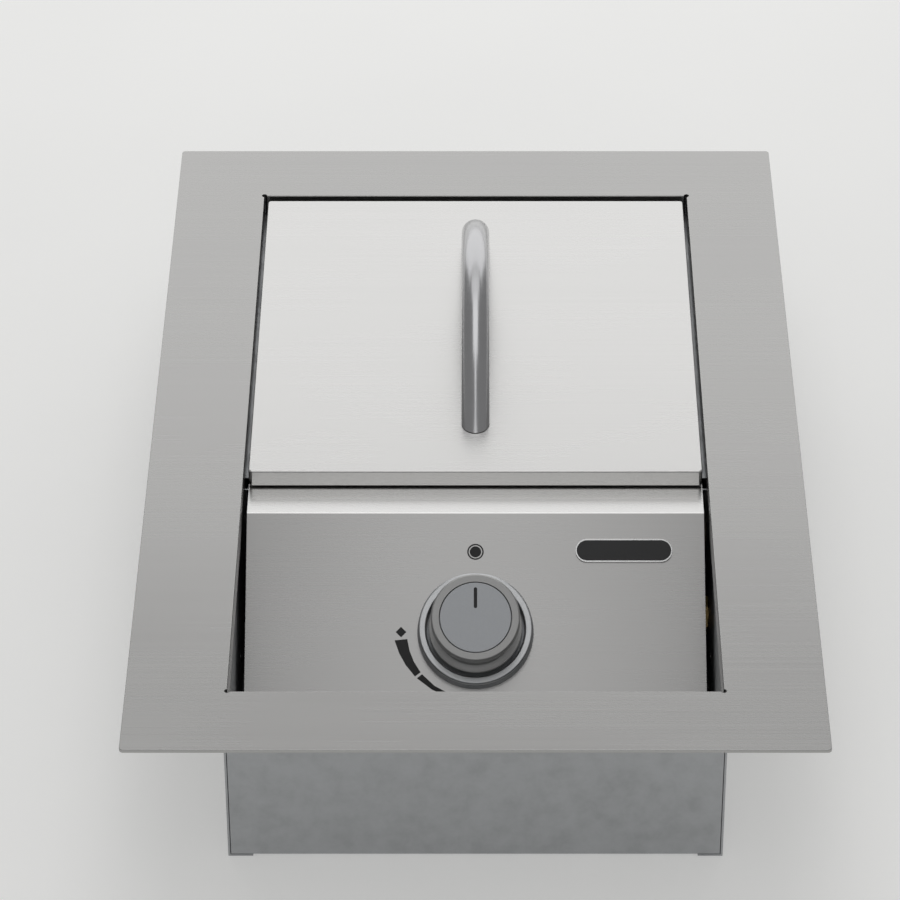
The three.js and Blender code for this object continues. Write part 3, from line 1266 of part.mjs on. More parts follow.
// Igniter: module on the bulkhead with a grip-edged battery cap, electrode beside the burner, and its lead
const MODULE_BACK = BULKHEAD_FACE - FIT;
const MODULE_FRONT = MODULE_BACK - MODULE_DEPTH;
const MODULE_HEAD = MODULE_LEVEL + MODULE_HEIGHT;
const LEAD_Y = MODULE_BACK - MODULE_DEPTH / 2;

function igniterModule() {
  const side = MODULE_WIDTH / 2;
  const body = block(
    MODULE_OFFSET - side,
    MODULE_OFFSET + side,
    MODULE_FRONT,
    MODULE_BACK,
    MODULE_LEVEL,
    MODULE_HEAD,
  );
  const socket = rod(LEAD_RADIUS + 2 * FIT, MODULE_LEVEL - OVERRUN, MODULE_LEVEL + LEAD_SOCKET, SCREW_SIDES);
  return cut(body, socket.translate(MODULE_OFFSET - side / 2, LEAD_Y, 0));
}

function batteryCap() {
  const dome = turned([
    [0, 0],
    [BATTERY_CAP_RADIUS, 0],
    [BATTERY_CAP_RADIUS, BATTERY_CAP_HEIGHT - GRIP_RADIUS],
    [BATTERY_CAP_RADIUS - GRIP_RADIUS, BATTERY_CAP_HEIGHT],
    [0, BATTERY_CAP_HEIGHT],
  ]);
  const grips = [];
  for (let i = 0; i < CAP_GRIPS; i += 1) {
    const grip = rod(GRIP_RADIUS, -OVERRUN, BATTERY_CAP_HEIGHT + OVERRUN, GRIP_SIDES);
    grips.push(grip.translate(BATTERY_CAP_RADIUS, 0, 0).rotateZ((2 * Math.PI * i) / CAP_GRIPS));
  }
  const facing = cut(dome, ...grips).rotateX(Math.PI / 2);
  return facing.translate(MODULE_OFFSET, MODULE_FRONT - FIT, (MODULE_LEVEL + MODULE_HEAD) / 2);
}

// Electrode: ceramic rod through the bowl's floor, a collar above it, and a bent wire tip
const ELECTRODE_SEAT = BOWL_FLOOR + FIT;

function electrodeBody() {
  const profile = [
    [0, ELECTRODE_FOOT],
    [ELECTRODE_RADIUS, ELECTRODE_FOOT],
    [ELECTRODE_RADIUS, ELECTRODE_SEAT],
    [ELECTRODE_COLLAR_RADIUS, ELECTRODE_SEAT],
    [ELECTRODE_COLLAR_RADIUS, ELECTRODE_SEAT + ELECTRODE_COLLAR],
    [ELECTRODE_RADIUS, ELECTRODE_SEAT + 2 * ELECTRODE_COLLAR],
    [ELECTRODE_TIP_RADIUS + ELECTRODE_RADIUS / 2, ELECTRODE_HEAD],
    [0, ELECTRODE_HEAD],
  ];
  return turned(profile, SCREW_SIDES).translate(ELECTRODE_OFFSET, BURNER_Y, 0);
}

function electrodeTip() {
  const base = new THREE.Vector3(ELECTRODE_OFFSET, BURNER_Y, ELECTRODE_HEAD + FIT);
  const elbow = base.clone();
  elbow.z += ELECTRODE_TIP_RISE / 2;
  const top = base.clone();
  top.z += ELECTRODE_TIP_RISE;
  top.x -= ELECTRODE_TIP_LEAN;
  const bend = new THREE.QuadraticBezierCurve3(base, elbow, top);
  return tube(bend, ELECTRODE_TIP_RADIUS, LEAD_SIDES, LEAD_SIDES);
}

function electrodeClip() {
  const bore = ELECTRODE_RADIUS + FIT;
  const top = BOWL_FLOOR - SHEET - FIT;
  const reach = ELECTRODE_COLLAR_RADIUS + BRACKET_FOOT / 2;
  const half = SCREW_HEAD_RADIUS;
  const plate = block(-ELECTRODE_COLLAR_RADIUS, reach, -half, half, top - SHEET, top);
  const sleeve = rod(bore + SHEET, top - BRACKET_FOOT / 2, top);
  const hole = rod(bore, top - BRACKET_FOOT, top + OVERRUN, SCREW_SIDES);
  return cut(join(plate, sleeve), hole).translate(ELECTRODE_OFFSET, BURNER_Y, 0);
}

// Down out of the module, through the bulkhead, along the pan and up to the electrode
function sparkLead() {
  const rest = PAN_TOP + FIT + LEAD_RADIUS;
  const at = (y, z) => new THREE.Vector3(ELECTRODE_OFFSET, y, z);
  const socket = MODULE_LEVEL + LEAD_SOCKET - FIT;
  const start = new THREE.Vector3(MODULE_OFFSET - MODULE_WIDTH / 4, LEAD_Y, socket);
  const inside = start.clone().setZ(MODULE_LEVEL + LEAD_RADIUS);
  const mouth = start.clone().setZ(MODULE_LEVEL - LEAD_RADIUS);
  const points = [start, inside, mouth, at(BULKHEAD_FACE - 2 * LEAD_RADIUS, LEAD_LEVEL)];
  const beyond = BULKHEAD_BACK + 2 * LEAD_RADIUS;
  for (let i = 0; i <= LEAD_POINTS; i += 1) {
    const share = i / LEAD_POINTS;
    const fallen = (1 - Math.cos(Math.PI * share)) / 2;
    points.push(at(beyond + share * LEAD_SETTLE, LEAD_LEVEL + fallen * (rest - LEAD_LEVEL)));
  }
  const end = ELECTRODE_FOOT - FIT;
  const bend = end - LEAD_STRAIGHT - rest;
  points.push(at(beyond + LEAD_SETTLE + LEAD_STRAIGHT, rest), at(BURNER_Y - bend - LEAD_STRAIGHT, rest));
  for (let i = 0; i <= LEAD_POINTS; i += 1) {
    const turn = ((i / LEAD_POINTS) * Math.PI) / 2;
    points.push(at(BURNER_Y - bend * (1 - Math.sin(turn)), rest + bend * (1 - Math.cos(turn))));
  }
  points.push(at(BURNER_Y, end));
  const path = new THREE.CatmullRomCurve3(points, false, "centripetal");
  return tube(path, LEAD_RADIUS, LEAD_SIDES, LEAD_STEPS);
}

add("igniter_module", igniterModule(), BLACK);
add("battery_cap", batteryCap(), BLACK);
add("spark_electrode", electrodeBody(), CERAMIC);
add("electrode_tip", electrodeTip(), SATIN);
add("electrode_bracket", electrodeClip(), GALVANISED);
add("spark_lead", sparkLead(), BLACK);

export default group;
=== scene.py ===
import json
import math

import bmesh
import bpy
from mathutils import Matrix, Vector

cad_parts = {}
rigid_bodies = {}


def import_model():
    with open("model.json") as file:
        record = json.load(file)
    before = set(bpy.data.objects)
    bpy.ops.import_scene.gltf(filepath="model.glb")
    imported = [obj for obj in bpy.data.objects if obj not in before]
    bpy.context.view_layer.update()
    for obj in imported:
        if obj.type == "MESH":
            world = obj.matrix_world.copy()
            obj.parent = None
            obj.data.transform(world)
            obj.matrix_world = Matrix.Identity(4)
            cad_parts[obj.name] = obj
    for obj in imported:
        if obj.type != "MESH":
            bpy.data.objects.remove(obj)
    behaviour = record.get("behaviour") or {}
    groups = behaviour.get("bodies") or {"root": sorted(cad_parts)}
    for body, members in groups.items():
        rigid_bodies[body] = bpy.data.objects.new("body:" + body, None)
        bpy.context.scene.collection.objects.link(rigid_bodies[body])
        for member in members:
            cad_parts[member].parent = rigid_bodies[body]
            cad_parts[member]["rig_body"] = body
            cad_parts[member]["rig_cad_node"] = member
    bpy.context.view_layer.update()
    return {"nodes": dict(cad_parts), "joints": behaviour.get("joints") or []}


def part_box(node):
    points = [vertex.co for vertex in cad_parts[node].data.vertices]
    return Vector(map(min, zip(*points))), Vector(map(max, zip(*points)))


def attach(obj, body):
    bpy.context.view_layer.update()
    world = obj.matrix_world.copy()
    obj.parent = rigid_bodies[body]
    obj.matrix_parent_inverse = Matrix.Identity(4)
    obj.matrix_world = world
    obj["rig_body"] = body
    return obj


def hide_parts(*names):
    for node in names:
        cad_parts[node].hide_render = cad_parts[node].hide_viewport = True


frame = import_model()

bl_info = {
    "name": "Built in Side Burner",
    "version": (1, 0, 0),
    "blender": (4, 5, 0),
    "location": "View3D > Sidebar > Side Burner",
    "description": "Dresses the side burner's frame, lid, control panel, knob, burner and casing",
    "category": "Object",
}

MM = 0.001
NODES = frame["nodes"]

# Sides of a full round and of a small hole
ROUND_SIDES = 128
HOLE_SIDES = 24

# Distances that count as none: between doubles, beside a cut or bevel, in a test on a place, at a bent fold
MERGE = 0.002 * MM
CLOSE = 0.02 * MM
SLACK = 0.05 * MM
FOLD_SLACK = 0.9 * MM

# Angles in radians: faces that turn by less are one flat face, edges that turn by more can be rounded
FLAT = math.radians(0.5)
SHARP = 0.3

# Least distance in mm between two cuts through a piece's openings
CUT_SPACING = 0.3

# Shares of the common edge or cast radius that finer pieces take, and of a fold's radius that its bevel takes
SHEET_SHARE = 0.6
FINE_SHARE = 0.5
WIRE_SHARE = 0.3
PORT_SHARE = 0.25
PRESS_SHARE = 0.7

# Shares of a screw head's radius that its recess takes, of a bar's width at a round end and of a filled end
RECESS_LONG_SHARE = 0.62
RECESS_WIDE_SHARE = 0.16
END_SHARE = 0.499
INSET_SHARE = 0.5

# Edge radii of the pieces that are modelled anew
TURNED_EDGE = 0.3 * MM
SPOOL_EDGE = 0.25 * MM
DISC_EDGE = 0.1 * MM
PLATE_EDGE = 0.12 * MM
FOOT_EDGE = 0.4 * MM

# Frame, panel and screws
FLANGE_CORNER = 2.1 * MM
SHELF_EDGE = 0.4 * MM
FIT = 0.3 * MM
FOOT_BORE = 2.7 * MM
PANEL_BORE = 2.2 * MM
SCREW_SPACING = 17 * MM
SCREW_RISE = 3.8 * MM

# Badge plate and knob pointer
PLATE_RIM = 0.8 * MM
PLATE_GAP = 0.02 * MM
PLATE_FACE = 1.05 * MM
PLATE_TOP = 1.3 * MM
POINTER_HEIGHT = 0.05 * MM

# Printed marks, where the scale's stations are angles and outer radii in mm
STRIP = 0.01 * MM
OFF_RING = (3.7 * MM, 4.5 * MM)
OFF_DOT = 3.1 * MM
START_MARK = 2.9 * MM
WIDE_SCALE = ((186, 44.1), (196, 43.0), (206, 42.0), (217, 41.0))
THIN_SCALE = ((219, 40.8), (233.5, 39.7), (250, 39.1), (272, 38.5), (286, 38.2))

# Floor, world and camera
FLOOR_SIZE = 12
FLOOR_DROP = 0.5 * MM
WORLD_LIGHT = 0.28
BACKDROP = 0.86
CAMERA_PLACE = (0, -1.9036, 1.4730)
CAMERA_TILT = math.radians(36)


def low(node):
    """Lowest corner of a CAD node at rest."""
    return Vector(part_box(node)[0])


def high(node):
    """Highest corner of a CAD node at rest."""
    return Vector(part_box(node)[1])


def middle(node):
    return (low(node) + high(node)) / 2


# Places read from the frame
FLANGE_TOP = high("trim_flange").z
LID_TOP = high("lid_shell").z
TURN = next(j for j in frame["joints"] if j["name"] == "knob_turn")
KNOB_PLACE = Vector(TURN["pos_m"])
KNOB_AXIS = Vector(TURN["axis"])
UP_SLOPE = Vector((0, KNOB_AXIS.z, -KNOB_AXIS.y))
TILT = math.atan2(-KNOB_AXIS.y, KNOB_AXIS.z)
BURNER = middle("burner_cap")


def length(name, default, description):
    """A size in metres that shows in the sidebar."""
    return bpy.props.FloatProperty(name=name, description=description, default=default, unit="LENGTH")


def share(name, default, description):
    """A value from 0 to 1."""
    return bpy.props.FloatProperty(
        name=name, description=description, default=default, min=0, max=1, subtype="FACTOR"
    )


def colour(name, default, description):
    return bpy.props.FloatVectorProperty(
        name=name, description=description, default=default, size=3, min=0, max=1, subtype="COLOR"
    )


class SideBurnerSizes(bpy.types.PropertyGroup):
    """Sizes of the folds, edges and marks that the frame doesn't hold."""

    opening_width: length("Opening width", 255 * MM, "Clear width between the frame's lips")
    opening_depth: length("Opening depth", 472 * MM, "Clear depth between the frame's lips")
    front_rail: length("Front rail", 47 * MM, "Depth of the rail in front of the opening")
    fold: length("Fold radius", 1.4 * MM, "Outer radius of folds in sheet")
    edge: length("Edge radius", 0.35 * MM, "Radius left on cut and pressed edges")
    bar_diameter: length("Handle bar", 16 * MM, "Diameter of the handle's bar")
    handle_span: length("Handle span", 185 * MM, "Between the middles of the handle's feet")
    foot_angle: bpy.props.FloatProperty(
        name="Foot angle", description="Degrees between bar and lid at each foot", default=50, min=10, max=90
    )
    panel_bend: length("Panel bend", 3.2 * MM, "Outer radius of the fold between shelf and slope")
    recess_floor: length("Recess floor", 12.8 * MM, "Upper face of the recess floor above the base")
    knob_drop: length("Knob drop", 67.2 * MM, "From the fold down the slope to the knob")
    mark_height: length("Ink height", 0.06 * MM, "Thickness of printed marks")
    off_mark: length("Off mark", 45 * MM, "From the knob's axis up the slope to the off mark")
    start_mark: length("Start mark", 40.4 * MM, "From the knob's axis to the mark at its left")
    scale_radius: length("Scale radius", 37.2 * MM, "Inner radius of the flame scale")
    badge_length: length("Badge length", 53 * MM, "Length of the blank plate")
    badge_width: length("Badge width", 13 * MM, "Width of the blank plate")
    badge_offset: length("Badge offset", 81 * MM, "From the knob's axis across to the plate's middle")
    badge_rise: length("Badge rise", 45.5 * MM, "From the knob's axis up the slope to the plate's middle")
    bezel_radius: length("Bezel radius", 31 * MM, "Outer radius of the bezel's ring")
    knob_radius: length("Knob radius", 24 * MM, "Radius of the knob's rim")
    knob_height: length("Knob height", 34 * MM, "Knob's face above the panel")
    cast_edge: length("Cast edge", 1.1 * MM, "Radius left on cast edges")
    lead_diameter: length("Lead diameter", 3.6 * MM, "Diameter of the spark lead")
    lead_length: length("Lead length", 197 * MM, "Whole length of the spark lead")
    lens: bpy.props.FloatProperty(
        name="Lens", description="Camera's focal length in mm", default=167.44, min=20
    )
    shift: bpy.props.FloatProperty(name="Shift", description="Camera's sideways shift", default=-0.0283)
    floor_glow: share("Floor glow", 0.4, "How much the floor glows where the camera or metal sees it")


class SideBurnerFinish(bpy.types.PropertyGroup):
    """Colours and finishes of the materials."""

    steel: colour("Brushed steel", (0.655, 0.651, 0.642), "Lid")
    panel: colour("Panel steel", (0.47, 0.466, 0.46), "Control panel's slope")
    # The shelf tone is a painted highlight: shelf and slope are one sheet, and the flat shelf strip is
    # painted lighter than the slope.
    shelf: colour("Shelf steel", (0.82, 0.815, 0.805), "Control panel's shelf strip")
    trim: colour("Frame steel", (0.42, 0.417, 0.41), "Trim frame")
    grain: share("Grain", 0.25, "Strength of the brushed grain")
    bar: colour("Polished bar", (0.52, 0.52, 0.53), "Lid handle")
    knob: colour("Knob", (0.42, 0.434, 0.452), "Satin grey of the knob and bezel")
    casing: colour("Casing", (0.42, 0.43, 0.44), "Galvanised sheet")
    iron: colour("Cast iron", (0.022, 0.022, 0.023), "Grate and burner cap")
    ink: colour("Ink", (0.012, 0.012, 0.013), "Printed marks and the blank plate")
    floor: colour("Floor", (0.78, 0.78, 0.77), "Pale floor under the burner")


def sizes():
    return bpy.context.scene.side_burner_sizes


def finishes():
    return bpy.context.scene.side_burner_finish


# Modelling by hand


def leave_edit():
    if bpy.context.object and bpy.context.object.mode != "OBJECT":
        bpy.ops.object.mode_set(mode="OBJECT")


def fresh():
    """Nothing selected, in object mode, ready for a primitive."""
    leave_edit()
    bpy.ops.object.select_all(action="DESELECT")


def only(piece):
    fresh()
    piece.select_set(True)
    bpy.context.view_layer.objects.active = piece
    return piece


def named(name):
    """The primitive just added, under its piece's name."""
    piece = bpy.context.object
    piece.name = name
    piece.data.name = name
    return piece


def settle(piece):
    """Puts the object's place, turn and size into its mesh."""
    only(piece)
    bpy.ops.object.transform_apply(location=True, rotation=True, scale=True)
    return piece


def edit(piece, mode="FACE"):
    only(piece)
    bpy.ops.object.mode_set(mode="EDIT")
    bpy.ops.mesh.select_mode(type=mode)
    return piece


def pick(piece, edges):
    """Selects, in edit mode, only the edges that pass a test."""
    bpy.ops.mesh.select_all(action="DESELECT")
    mesh = bmesh.from_edit_mesh(piece.data)
    for edge in mesh.edges:
        if edges(edge):
            edge.select_set(True)
    mesh.select_flush_mode()
    bmesh.update_edit_mesh(piece.data)


def pick_all():
    bpy.ops.mesh.select_all(action="SELECT")


def use(piece, kind, name, **values):
    """Adds a modifier with these values and applies it."""
    only(piece)
    modifier = piece.modifiers.new(name, kind)
    for key, value in values.items():
        setattr(modifier, key, value)
    bpy.ops.object.modifier_apply(modifier=modifier.name)
    return piece


def near(value, target, slack=SLACK):
    return abs(value - target) < slack


def rounded(piece, width, segments=2, angle=30):
    """Bevels every edge that turns by more than an angle in degrees."""
    return use(
        piece,
        "BEVEL",
        "edges",
        width=width,
        segments=segments,
        limit_method="ANGLE",
        angle_limit=math.radians(angle),
        use_clamp_overlap=True,
        face_strength_mode="FSTR_ALL",
    )


def smooth(piece, angle=32):
    """Smooth shading that keeps flat faces flat beside rounded edges and leaves steep edges sharp."""
    only(piece)
    bpy.ops.object.shade_smooth()
    edit(piece, "EDGE")
    pick_all()
    bpy.ops.mesh.mark_sharp(clear=True)
    pick(piece, edges=lambda e: e.calc_face_angle(0) > math.radians(angle))
    bpy.ops.mesh.mark_sharp()
    leave_edit()
    return use(piece, "WEIGHTED_NORMAL", "flat faces", keep_sharp=True, use_face_influence=True)


def outwards(piece):
    """Merges doubles and points every face out."""
    edit(piece)
    pick_all()
    bpy.ops.mesh.remove_doubles(threshold=MERGE)
    bpy.ops.mesh.normals_make_consistent(inside=False)
    leave_edit()
    return piece


def trimmed(piece, *tools):
    """Cuts the piece by each tool and removes the tools."""
    for tool in tools:
        use(piece, "BOOLEAN", "cut", object=tool, operation="DIFFERENCE", solver="EXACT")
        bpy.data.objects.remove(tool)
    return piece


def block(name, start, end):
    """A cube shaped to two corners."""
    start, end = Vector(start), Vector(end)
    fresh()
    bpy.ops.mesh.primitive_cube_add(size=1, location=(start + end) / 2)
    piece = named(name)
    piece.scale = end - start
    return settle(piece)


def drill(place, radius, depth):
    """An upright cutting bar centred on a place."""
    fresh()
    bpy.ops.mesh.primitive_cylinder_add(vertices=HOLE_SIDES, radius=radius, depth=depth, location=place)
    return settle(named("cutter"))


def turned(name, profile, sides=ROUND_SIDES, closed=False):
    """Extrudes a circle along a profile of radii and heights; its ends are bridged if closed, else filled."""
    radius, height = profile[0]
    fresh()
    bpy.ops.mesh.primitive_circle_add(vertices=sides, radius=radius, location=(0, 0, height))
    piece = settle(named(name))
    edit(piece, "EDGE")
    pick_all()
    for next_radius, next_height in profile[1:]:
        step = (0, 0, next_height - height)
        bpy.ops.mesh.extrude_edges_move(TRANSFORM_OT_translate={"value": step})
        ratio = next_radius / radius
        bpy.ops.transform.resize(value=(ratio, ratio, 1), center_override=(0, 0, next_height))
        radius, height = next_radius, next_height
    if closed:
        pick(piece, edges=lambda e: e.is_boundary)
        bpy.ops.mesh.bridge_edge_loops()
    else:
        for end_radius, end_height in (profile[0], profile[-1]):
            pick(piece, edges=lambda e: e.is_boundary and near(e.verts[0].co.z, end_height, MERGE / 2))
            bpy.ops.mesh.edge_face_add()
            bpy.ops.mesh.inset(thickness=end_radius * INSET_SHARE)
            bpy.ops.mesh.poke()
    leave_edit()
    return outwards(piece)


def section(*points):
    """A profile whose radii and heights are given in mm."""
    return [(radius * MM, height * MM) for radius, height in points]


def on_knob_axis(piece):
    """Moves a piece made upright at the origin onto the sloping panel at the knob's place."""
    piece.matrix_world = Matrix.Translation(KNOB_PLACE) @ Matrix.Rotation(TILT, 4, "X")
    return settle(piece)


def upright(piece, place):
    piece.location = place
    return settle(piece)


def dress(piece, material, body, *nodes, slot=None):
    """Gives a finished piece its material, its body and the CAD nodes it stands for."""
    piece.data.materials.clear()
    piece.data.materials.append(finish_named(material))
    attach(piece, body)
    if nodes:
        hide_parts(*nodes)
    slot or material
    return piece


# Shader node groups shared by the materials


def new_group(name, inputs, outputs):
    """An empty group with named float, colour or vector sockets."""
    group = bpy.data.node_groups.new(name, "ShaderNodeTree")
    for socket_name, kind, default in inputs:
        socket = group.interface.new_socket(socket_name, in_out="INPUT", socket_type=kind)
        socket.default_value = default
    for socket_name, kind in outputs:
        group.interface.new_socket(socket_name, in_out="OUTPUT", socket_type=kind)
    entry = group.nodes.new("NodeGroupInput")
    leave = group.nodes.new("NodeGroupOutput")
    return group, entry, leave


def preset(node, **values):
    """Sets a node's inputs by name, with an underscore for each space."""
    for key, value in values.items():
        node.inputs[key.replace("_", " ")].default_value = value
    return node


def stretched_noise(tree, stretch, detail, seed, scale=None):
    """Noise on Object coordinates, stretched, moved by a seed and scaled by a socket if one is given."""
    coordinates = tree.nodes.new("ShaderNodeTexCoord")
    mapping = preset(tree.nodes.new("ShaderNodeMapping"), Scale=stretch, Location=(seed, seed, seed))
    noise = preset(tree.nodes.new("ShaderNodeTexNoise"), Detail=detail, Roughness=0.6, Scale=1)
    tree.links.new(coordinates.outputs["Object"], mapping.inputs["Vector"])
    tree.links.new(mapping.outputs["Vector"], noise.inputs["Vector"])
    if scale:
        tree.links.new(scale, noise.inputs["Scale"])
    return noise.outputs["Fac"]


def ranged(tree, source, low_in, high_in, reach):
    """Stretches a value from one range to another that reaches as far below zero as above it."""
    node = tree.nodes.new("ShaderNodeMapRange")
    preset(node, From_Min=low_in, From_Max=high_in, To_Min=-reach, To_Max=reach)
    tree.links.new(source, node.inputs["Value"])
    return node.outputs["Result"]


def sums(tree, operation, first, second, clamp=False):
    """Works on two values, each a socket or a number."""
    node = tree.nodes.new("ShaderNodeMath")
    node.operation = operation
    node.use_clamp = clamp
    for socket, value in zip(node.inputs, (first, second)):
        if isinstance(value, (int, float)):
            socket.default_value = value
        else:
            tree.links.new(value, socket)
    return node.outputs["Value"]


def weighed(tree, first, first_share, second, second_share):
    """Two values added, each times its share."""
    first = sums(tree, "MULTIPLY", first, first_share)
    return sums(tree, "ADD", first, sums(tree, "MULTIPLY", second, second_share))


def tinted(tree, factor, first, second, blend="MIX"):
    """Mixes two colours, sockets or values, by a factor."""
    node = tree.nodes.new("ShaderNodeMix")
    node.data_type = "RGBA"
    node.blend_type = blend
    for socket, value in ((node.inputs[0], factor), (node.inputs[6], first), (node.inputs[7], second)):
        if isinstance(value, bpy.types.NodeSocket):
            tree.links.new(value, socket)
        elif isinstance(value, (int, float)):
            socket.default_value = value
        else:
            socket.default_value = (*value, 1)
    return node.outputs[2]


def finished_group(name, extra, work):
    """A group that shades and roughens a finish by what its work returns: shade, rough and height."""
    inputs = [("Color", "NodeSocketColor", (0.5, 0.5, 0.5, 1)), ("Roughness", "NodeSocketFloat", 0.4)]
    inputs += [(key, "NodeSocketFloat", default) for key, default in extra.items()]
    outputs = [("Color", "NodeSocketColor"), ("Roughness", "NodeSocketFloat"), ("Height", "NodeSocketFloat")]
    group, entry, leave = new_group(name, inputs, outputs)
    shade, rough, height = work(group, entry.outputs)
    bright = sums(group, "ADD", shade, 1.0)
    combine = group.nodes.new("ShaderNodeCombineXYZ")
    for socket in combine.inputs:
        group.links.new(bright, socket)
    toned = tinted(group, 1.0, entry.outputs["Color"], combine.outputs["Vector"], "MULTIPLY")
    rough = sums(group, "ADD", rough, entry.outputs["Roughness"], clamp=True)
    for value, key in ((toned, "Color"), (rough, "Roughness"), (height, "Height")):
        group.links.new(value, leave.inputs[key])
    return group


def brushed_grain(group, given):
    """Grain brushed from side to side: fine scratches, broader bands and slow clouding."""
    streak = ranged(group, stretched_noise(group, (2.5, 1500, 1500), 2, 0.37), 0.25, 0.75, 0.5)
    band = ranged(group, stretched_noise(group, (0.7, 420, 420), 3, 1.9), 0.2, 0.8, 0.3)
    slow = ranged(group, stretched_noise(group, (5, 9, 9), 2, 4.1), 0.3, 0.7, 0.5)
    grain = sums(group, "MULTIPLY", weighed(group, streak, 0.65, band, 0.35), given["Grain"])
    clouded = sums(group, "MULTIPLY", slow, given["Clouding"])
    return weighed(group, grain, 0.34, clouded, 0.05), weighed(group, grain, 0.16, clouded, 0.06), grain


def wear(group, given):
    """Smudges and small marks that a handled surface gathers."""
    cloud = stretched_noise(group, (1, 1, 1), 4, 0.7, given["Scale"])
    amount = sums(group, "MULTIPLY", ranged(group, cloud, 0.3, 0.7, 0.5), given["Amount"])
    shade = sums(group, "MULTIPLY", amount, 0.5)
    return shade, shade, cloud


# Its mask carries the painted highlight on the panel's shelf strip.
def above_group():
    """Marks what lies above a height."""
    inputs = [("Height", "NodeSocketFloat", 0.1)]
    group, entry, leave = new_group("side_burner_above", inputs, [("Mask", "NodeSocketFloat")])
    coordinates = group.nodes.new("ShaderNodeTexCoord")
    parts = group.nodes.new("ShaderNodeSeparateXYZ")
    group.links.new(coordinates.outputs["Object"], parts.inputs["Vector"])
    higher = sums(group, "GREATER_THAN", parts.outputs["Z"], entry.outputs["Height"])
    group.links.new(higher, leave.inputs["Mask"])
    return group


GROUPS = {}
GROUP_MAKERS = {
    "grain": lambda: finished_group(
        "side_burner_brushed_grain", {"Grain": 0.5, "Clouding": 0.5}, brushed_grain
    ),
    "wear": lambda: finished_group("side_burner_wear", {"Scale": 60.0, "Amount": 0.3}, wear),
    "above": above_group,
}


def effect(tree, name):
    """Places a shared group in a material."""
    if name not in GROUPS:
        GROUPS[name] = GROUP_MAKERS[name]()
    node = tree.nodes.new("ShaderNodeGroup")
    node.node_tree = GROUPS[name]
    return node


# Materials


def surface(name, metallic):
    """A new material and its shader."""
    material = bpy.data.materials.new(name)
    material.use_nodes = True
    shader = material.node_tree.nodes["Principled BSDF"]
    shader.inputs["Metallic"].default_value = metallic
    return material, material.node_tree, shader


def feed(tree, source, shader, strength, distance):
    """A group's colour and roughness into the shader, its height through a bump."""
    tree.links.new(source.outputs["Color"], shader.inputs["Base Color"])
    tree.links.new(source.outputs["Roughness"], shader.inputs["Roughness"])
    bump = preset(tree.nodes.new("ShaderNodeBump"), Strength=strength, Distance=distance)
    tree.links.new(source.outputs["Height"], bump.inputs["Height"])
    tree.links.new(bump.outputs["Normal"], shader.inputs["Normal"])


def tone_of(tone):
    """A colour given as numbers, or one of the finishes by its name."""
    return getattr(finishes(), tone) if isinstance(tone, str) else tone


def brushed(name, tone, roughness, grain_share, clouding, shelf_painted_sheen=None):
    """Brushed steel; if a shelf tone is given, the panel's flat shelf strip is painted lighter in it, a
    painted highlight.
    """
    material, tree, shader = surface(name, 1.0)
    source = effect(tree, "grain")
    grain = finishes().grain * grain_share
    preset(source, Color=(*tone_of(tone), 1), Roughness=roughness, Grain=grain, Clouding=clouding)
    feed(tree, source, shader, strength=0.12, distance=0.05 * MM)
    # Above the shelf's height the colour turns to the lighter shelf tone: a painted highlight on the flat
    # strip.
    if shelf_painted_sheen:
        shelf_sheen_mask = preset(effect(tree, "above"), Height=high("control_panel").z - SHELF_EDGE)
        toned = tinted(tree, shelf_sheen_mask.outputs["Mask"], tone_of(tone), tone_of(shelf_painted_sheen))
        tree.links.new(toned, source.inputs["Color"])
    return material


def worn(name, tone, roughness, metallic, scale, amount, bump=0.1, bump_depth=0.1):
    """A plain finish with a little wear; the bump's depth is in mm."""
    material, tree, shader = surface(name, metallic)
    source = effect(tree, "wear")
    preset(source, Color=(*tone_of(tone), 1), Roughness=roughness, Scale=scale, Amount=amount)
    feed(tree, source, shader, bump, bump_depth * MM)
    return material


# Tone, roughness, share of the grain, clouding and the shelf's tone, which is a painted highlight
BRUSHED = {
    "frame_steel": ("trim", 0.27, 1.0, 0.5),
    "lid_steel": ("steel", 0.27, 0.7, 0.7),
    # The panel's fifth column, the shelf tone, is a painted highlight.
    "panel_steel": ("panel", 0.28, 0.8, 0.5, "shelf"),
    "bowl_steel": ("steel", 0.36, 0.8, 0.5),
}
# Tone, roughness, metallic, size of the wear, its amount, strength of the bump and its depth in mm
WORN = {
    "casing_steel": ("casing", 0.42, 1.0, 90, 0.5),
    "fastener_steel": ((0.5, 0.5, 0.51), 0.3, 1.0, 300, 0.3),
    "polished_bar": ("bar", 0.24, 1.0, 120, 0.08, 0.0),
    "knob_satin": ((0.46, 0.46, 0.455), 0.42, 0.6, 400, 0.15, 0.05),
    "knob_face": ("knob", 0.34, 0.6, 400, 0.12, 0.03),
    "bezel_bright": ((0.62, 0.63, 0.64), 0.32, 0.9, 400, 0.15, 0.0),
    "bezel_satin": ("knob", 0.36, 0.7, 400, 0.15, 0.05),
    "cast_aluminium": ((0.45, 0.44, 0.43), 0.55, 1.0, 700, 0.5, 0.5, 0.2),
    "cast_iron": ("iron", 0.6, 0.2, 600, 0.6, 0.6, 0.25),
    "brass": ((0.62, 0.45, 0.2), 0.28, 1.0, 200, 0.35),
    "ink": ("ink", 0.5, 0.0, 900, 0.3),
    "plate_black": ("ink", 0.34, 0.0, 500, 0.15, 0.01),
    "plate_edge": ((0.7, 0.7, 0.7), 0.25, 1.0, 300, 0.2, 0.01),
    "black_plastic": ((0.02, 0.02, 0.02), 0.5, 0.0, 900, 0.4, 0.2),
    "rubber": ((0.02, 0.02, 0.02), 0.8, 0.0, 700, 0.4, 0.3),
    "ceramic": ((0.82, 0.8, 0.74), 0.25, 0.0, 200, 0.12),
}
MATERIALS = {}


def finish_named(key):
    """Each material is made once, when a piece first asks for it."""
    if key not in MATERIALS:
        make, table = (brushed, BRUSHED) if key in BRUSHED else (worn, WORN)
        MATERIALS[key] = make(key, *table[key])
    return MATERIALS[key]


# Copies of CAD nodes with their flat faces made whole and their folds rounded


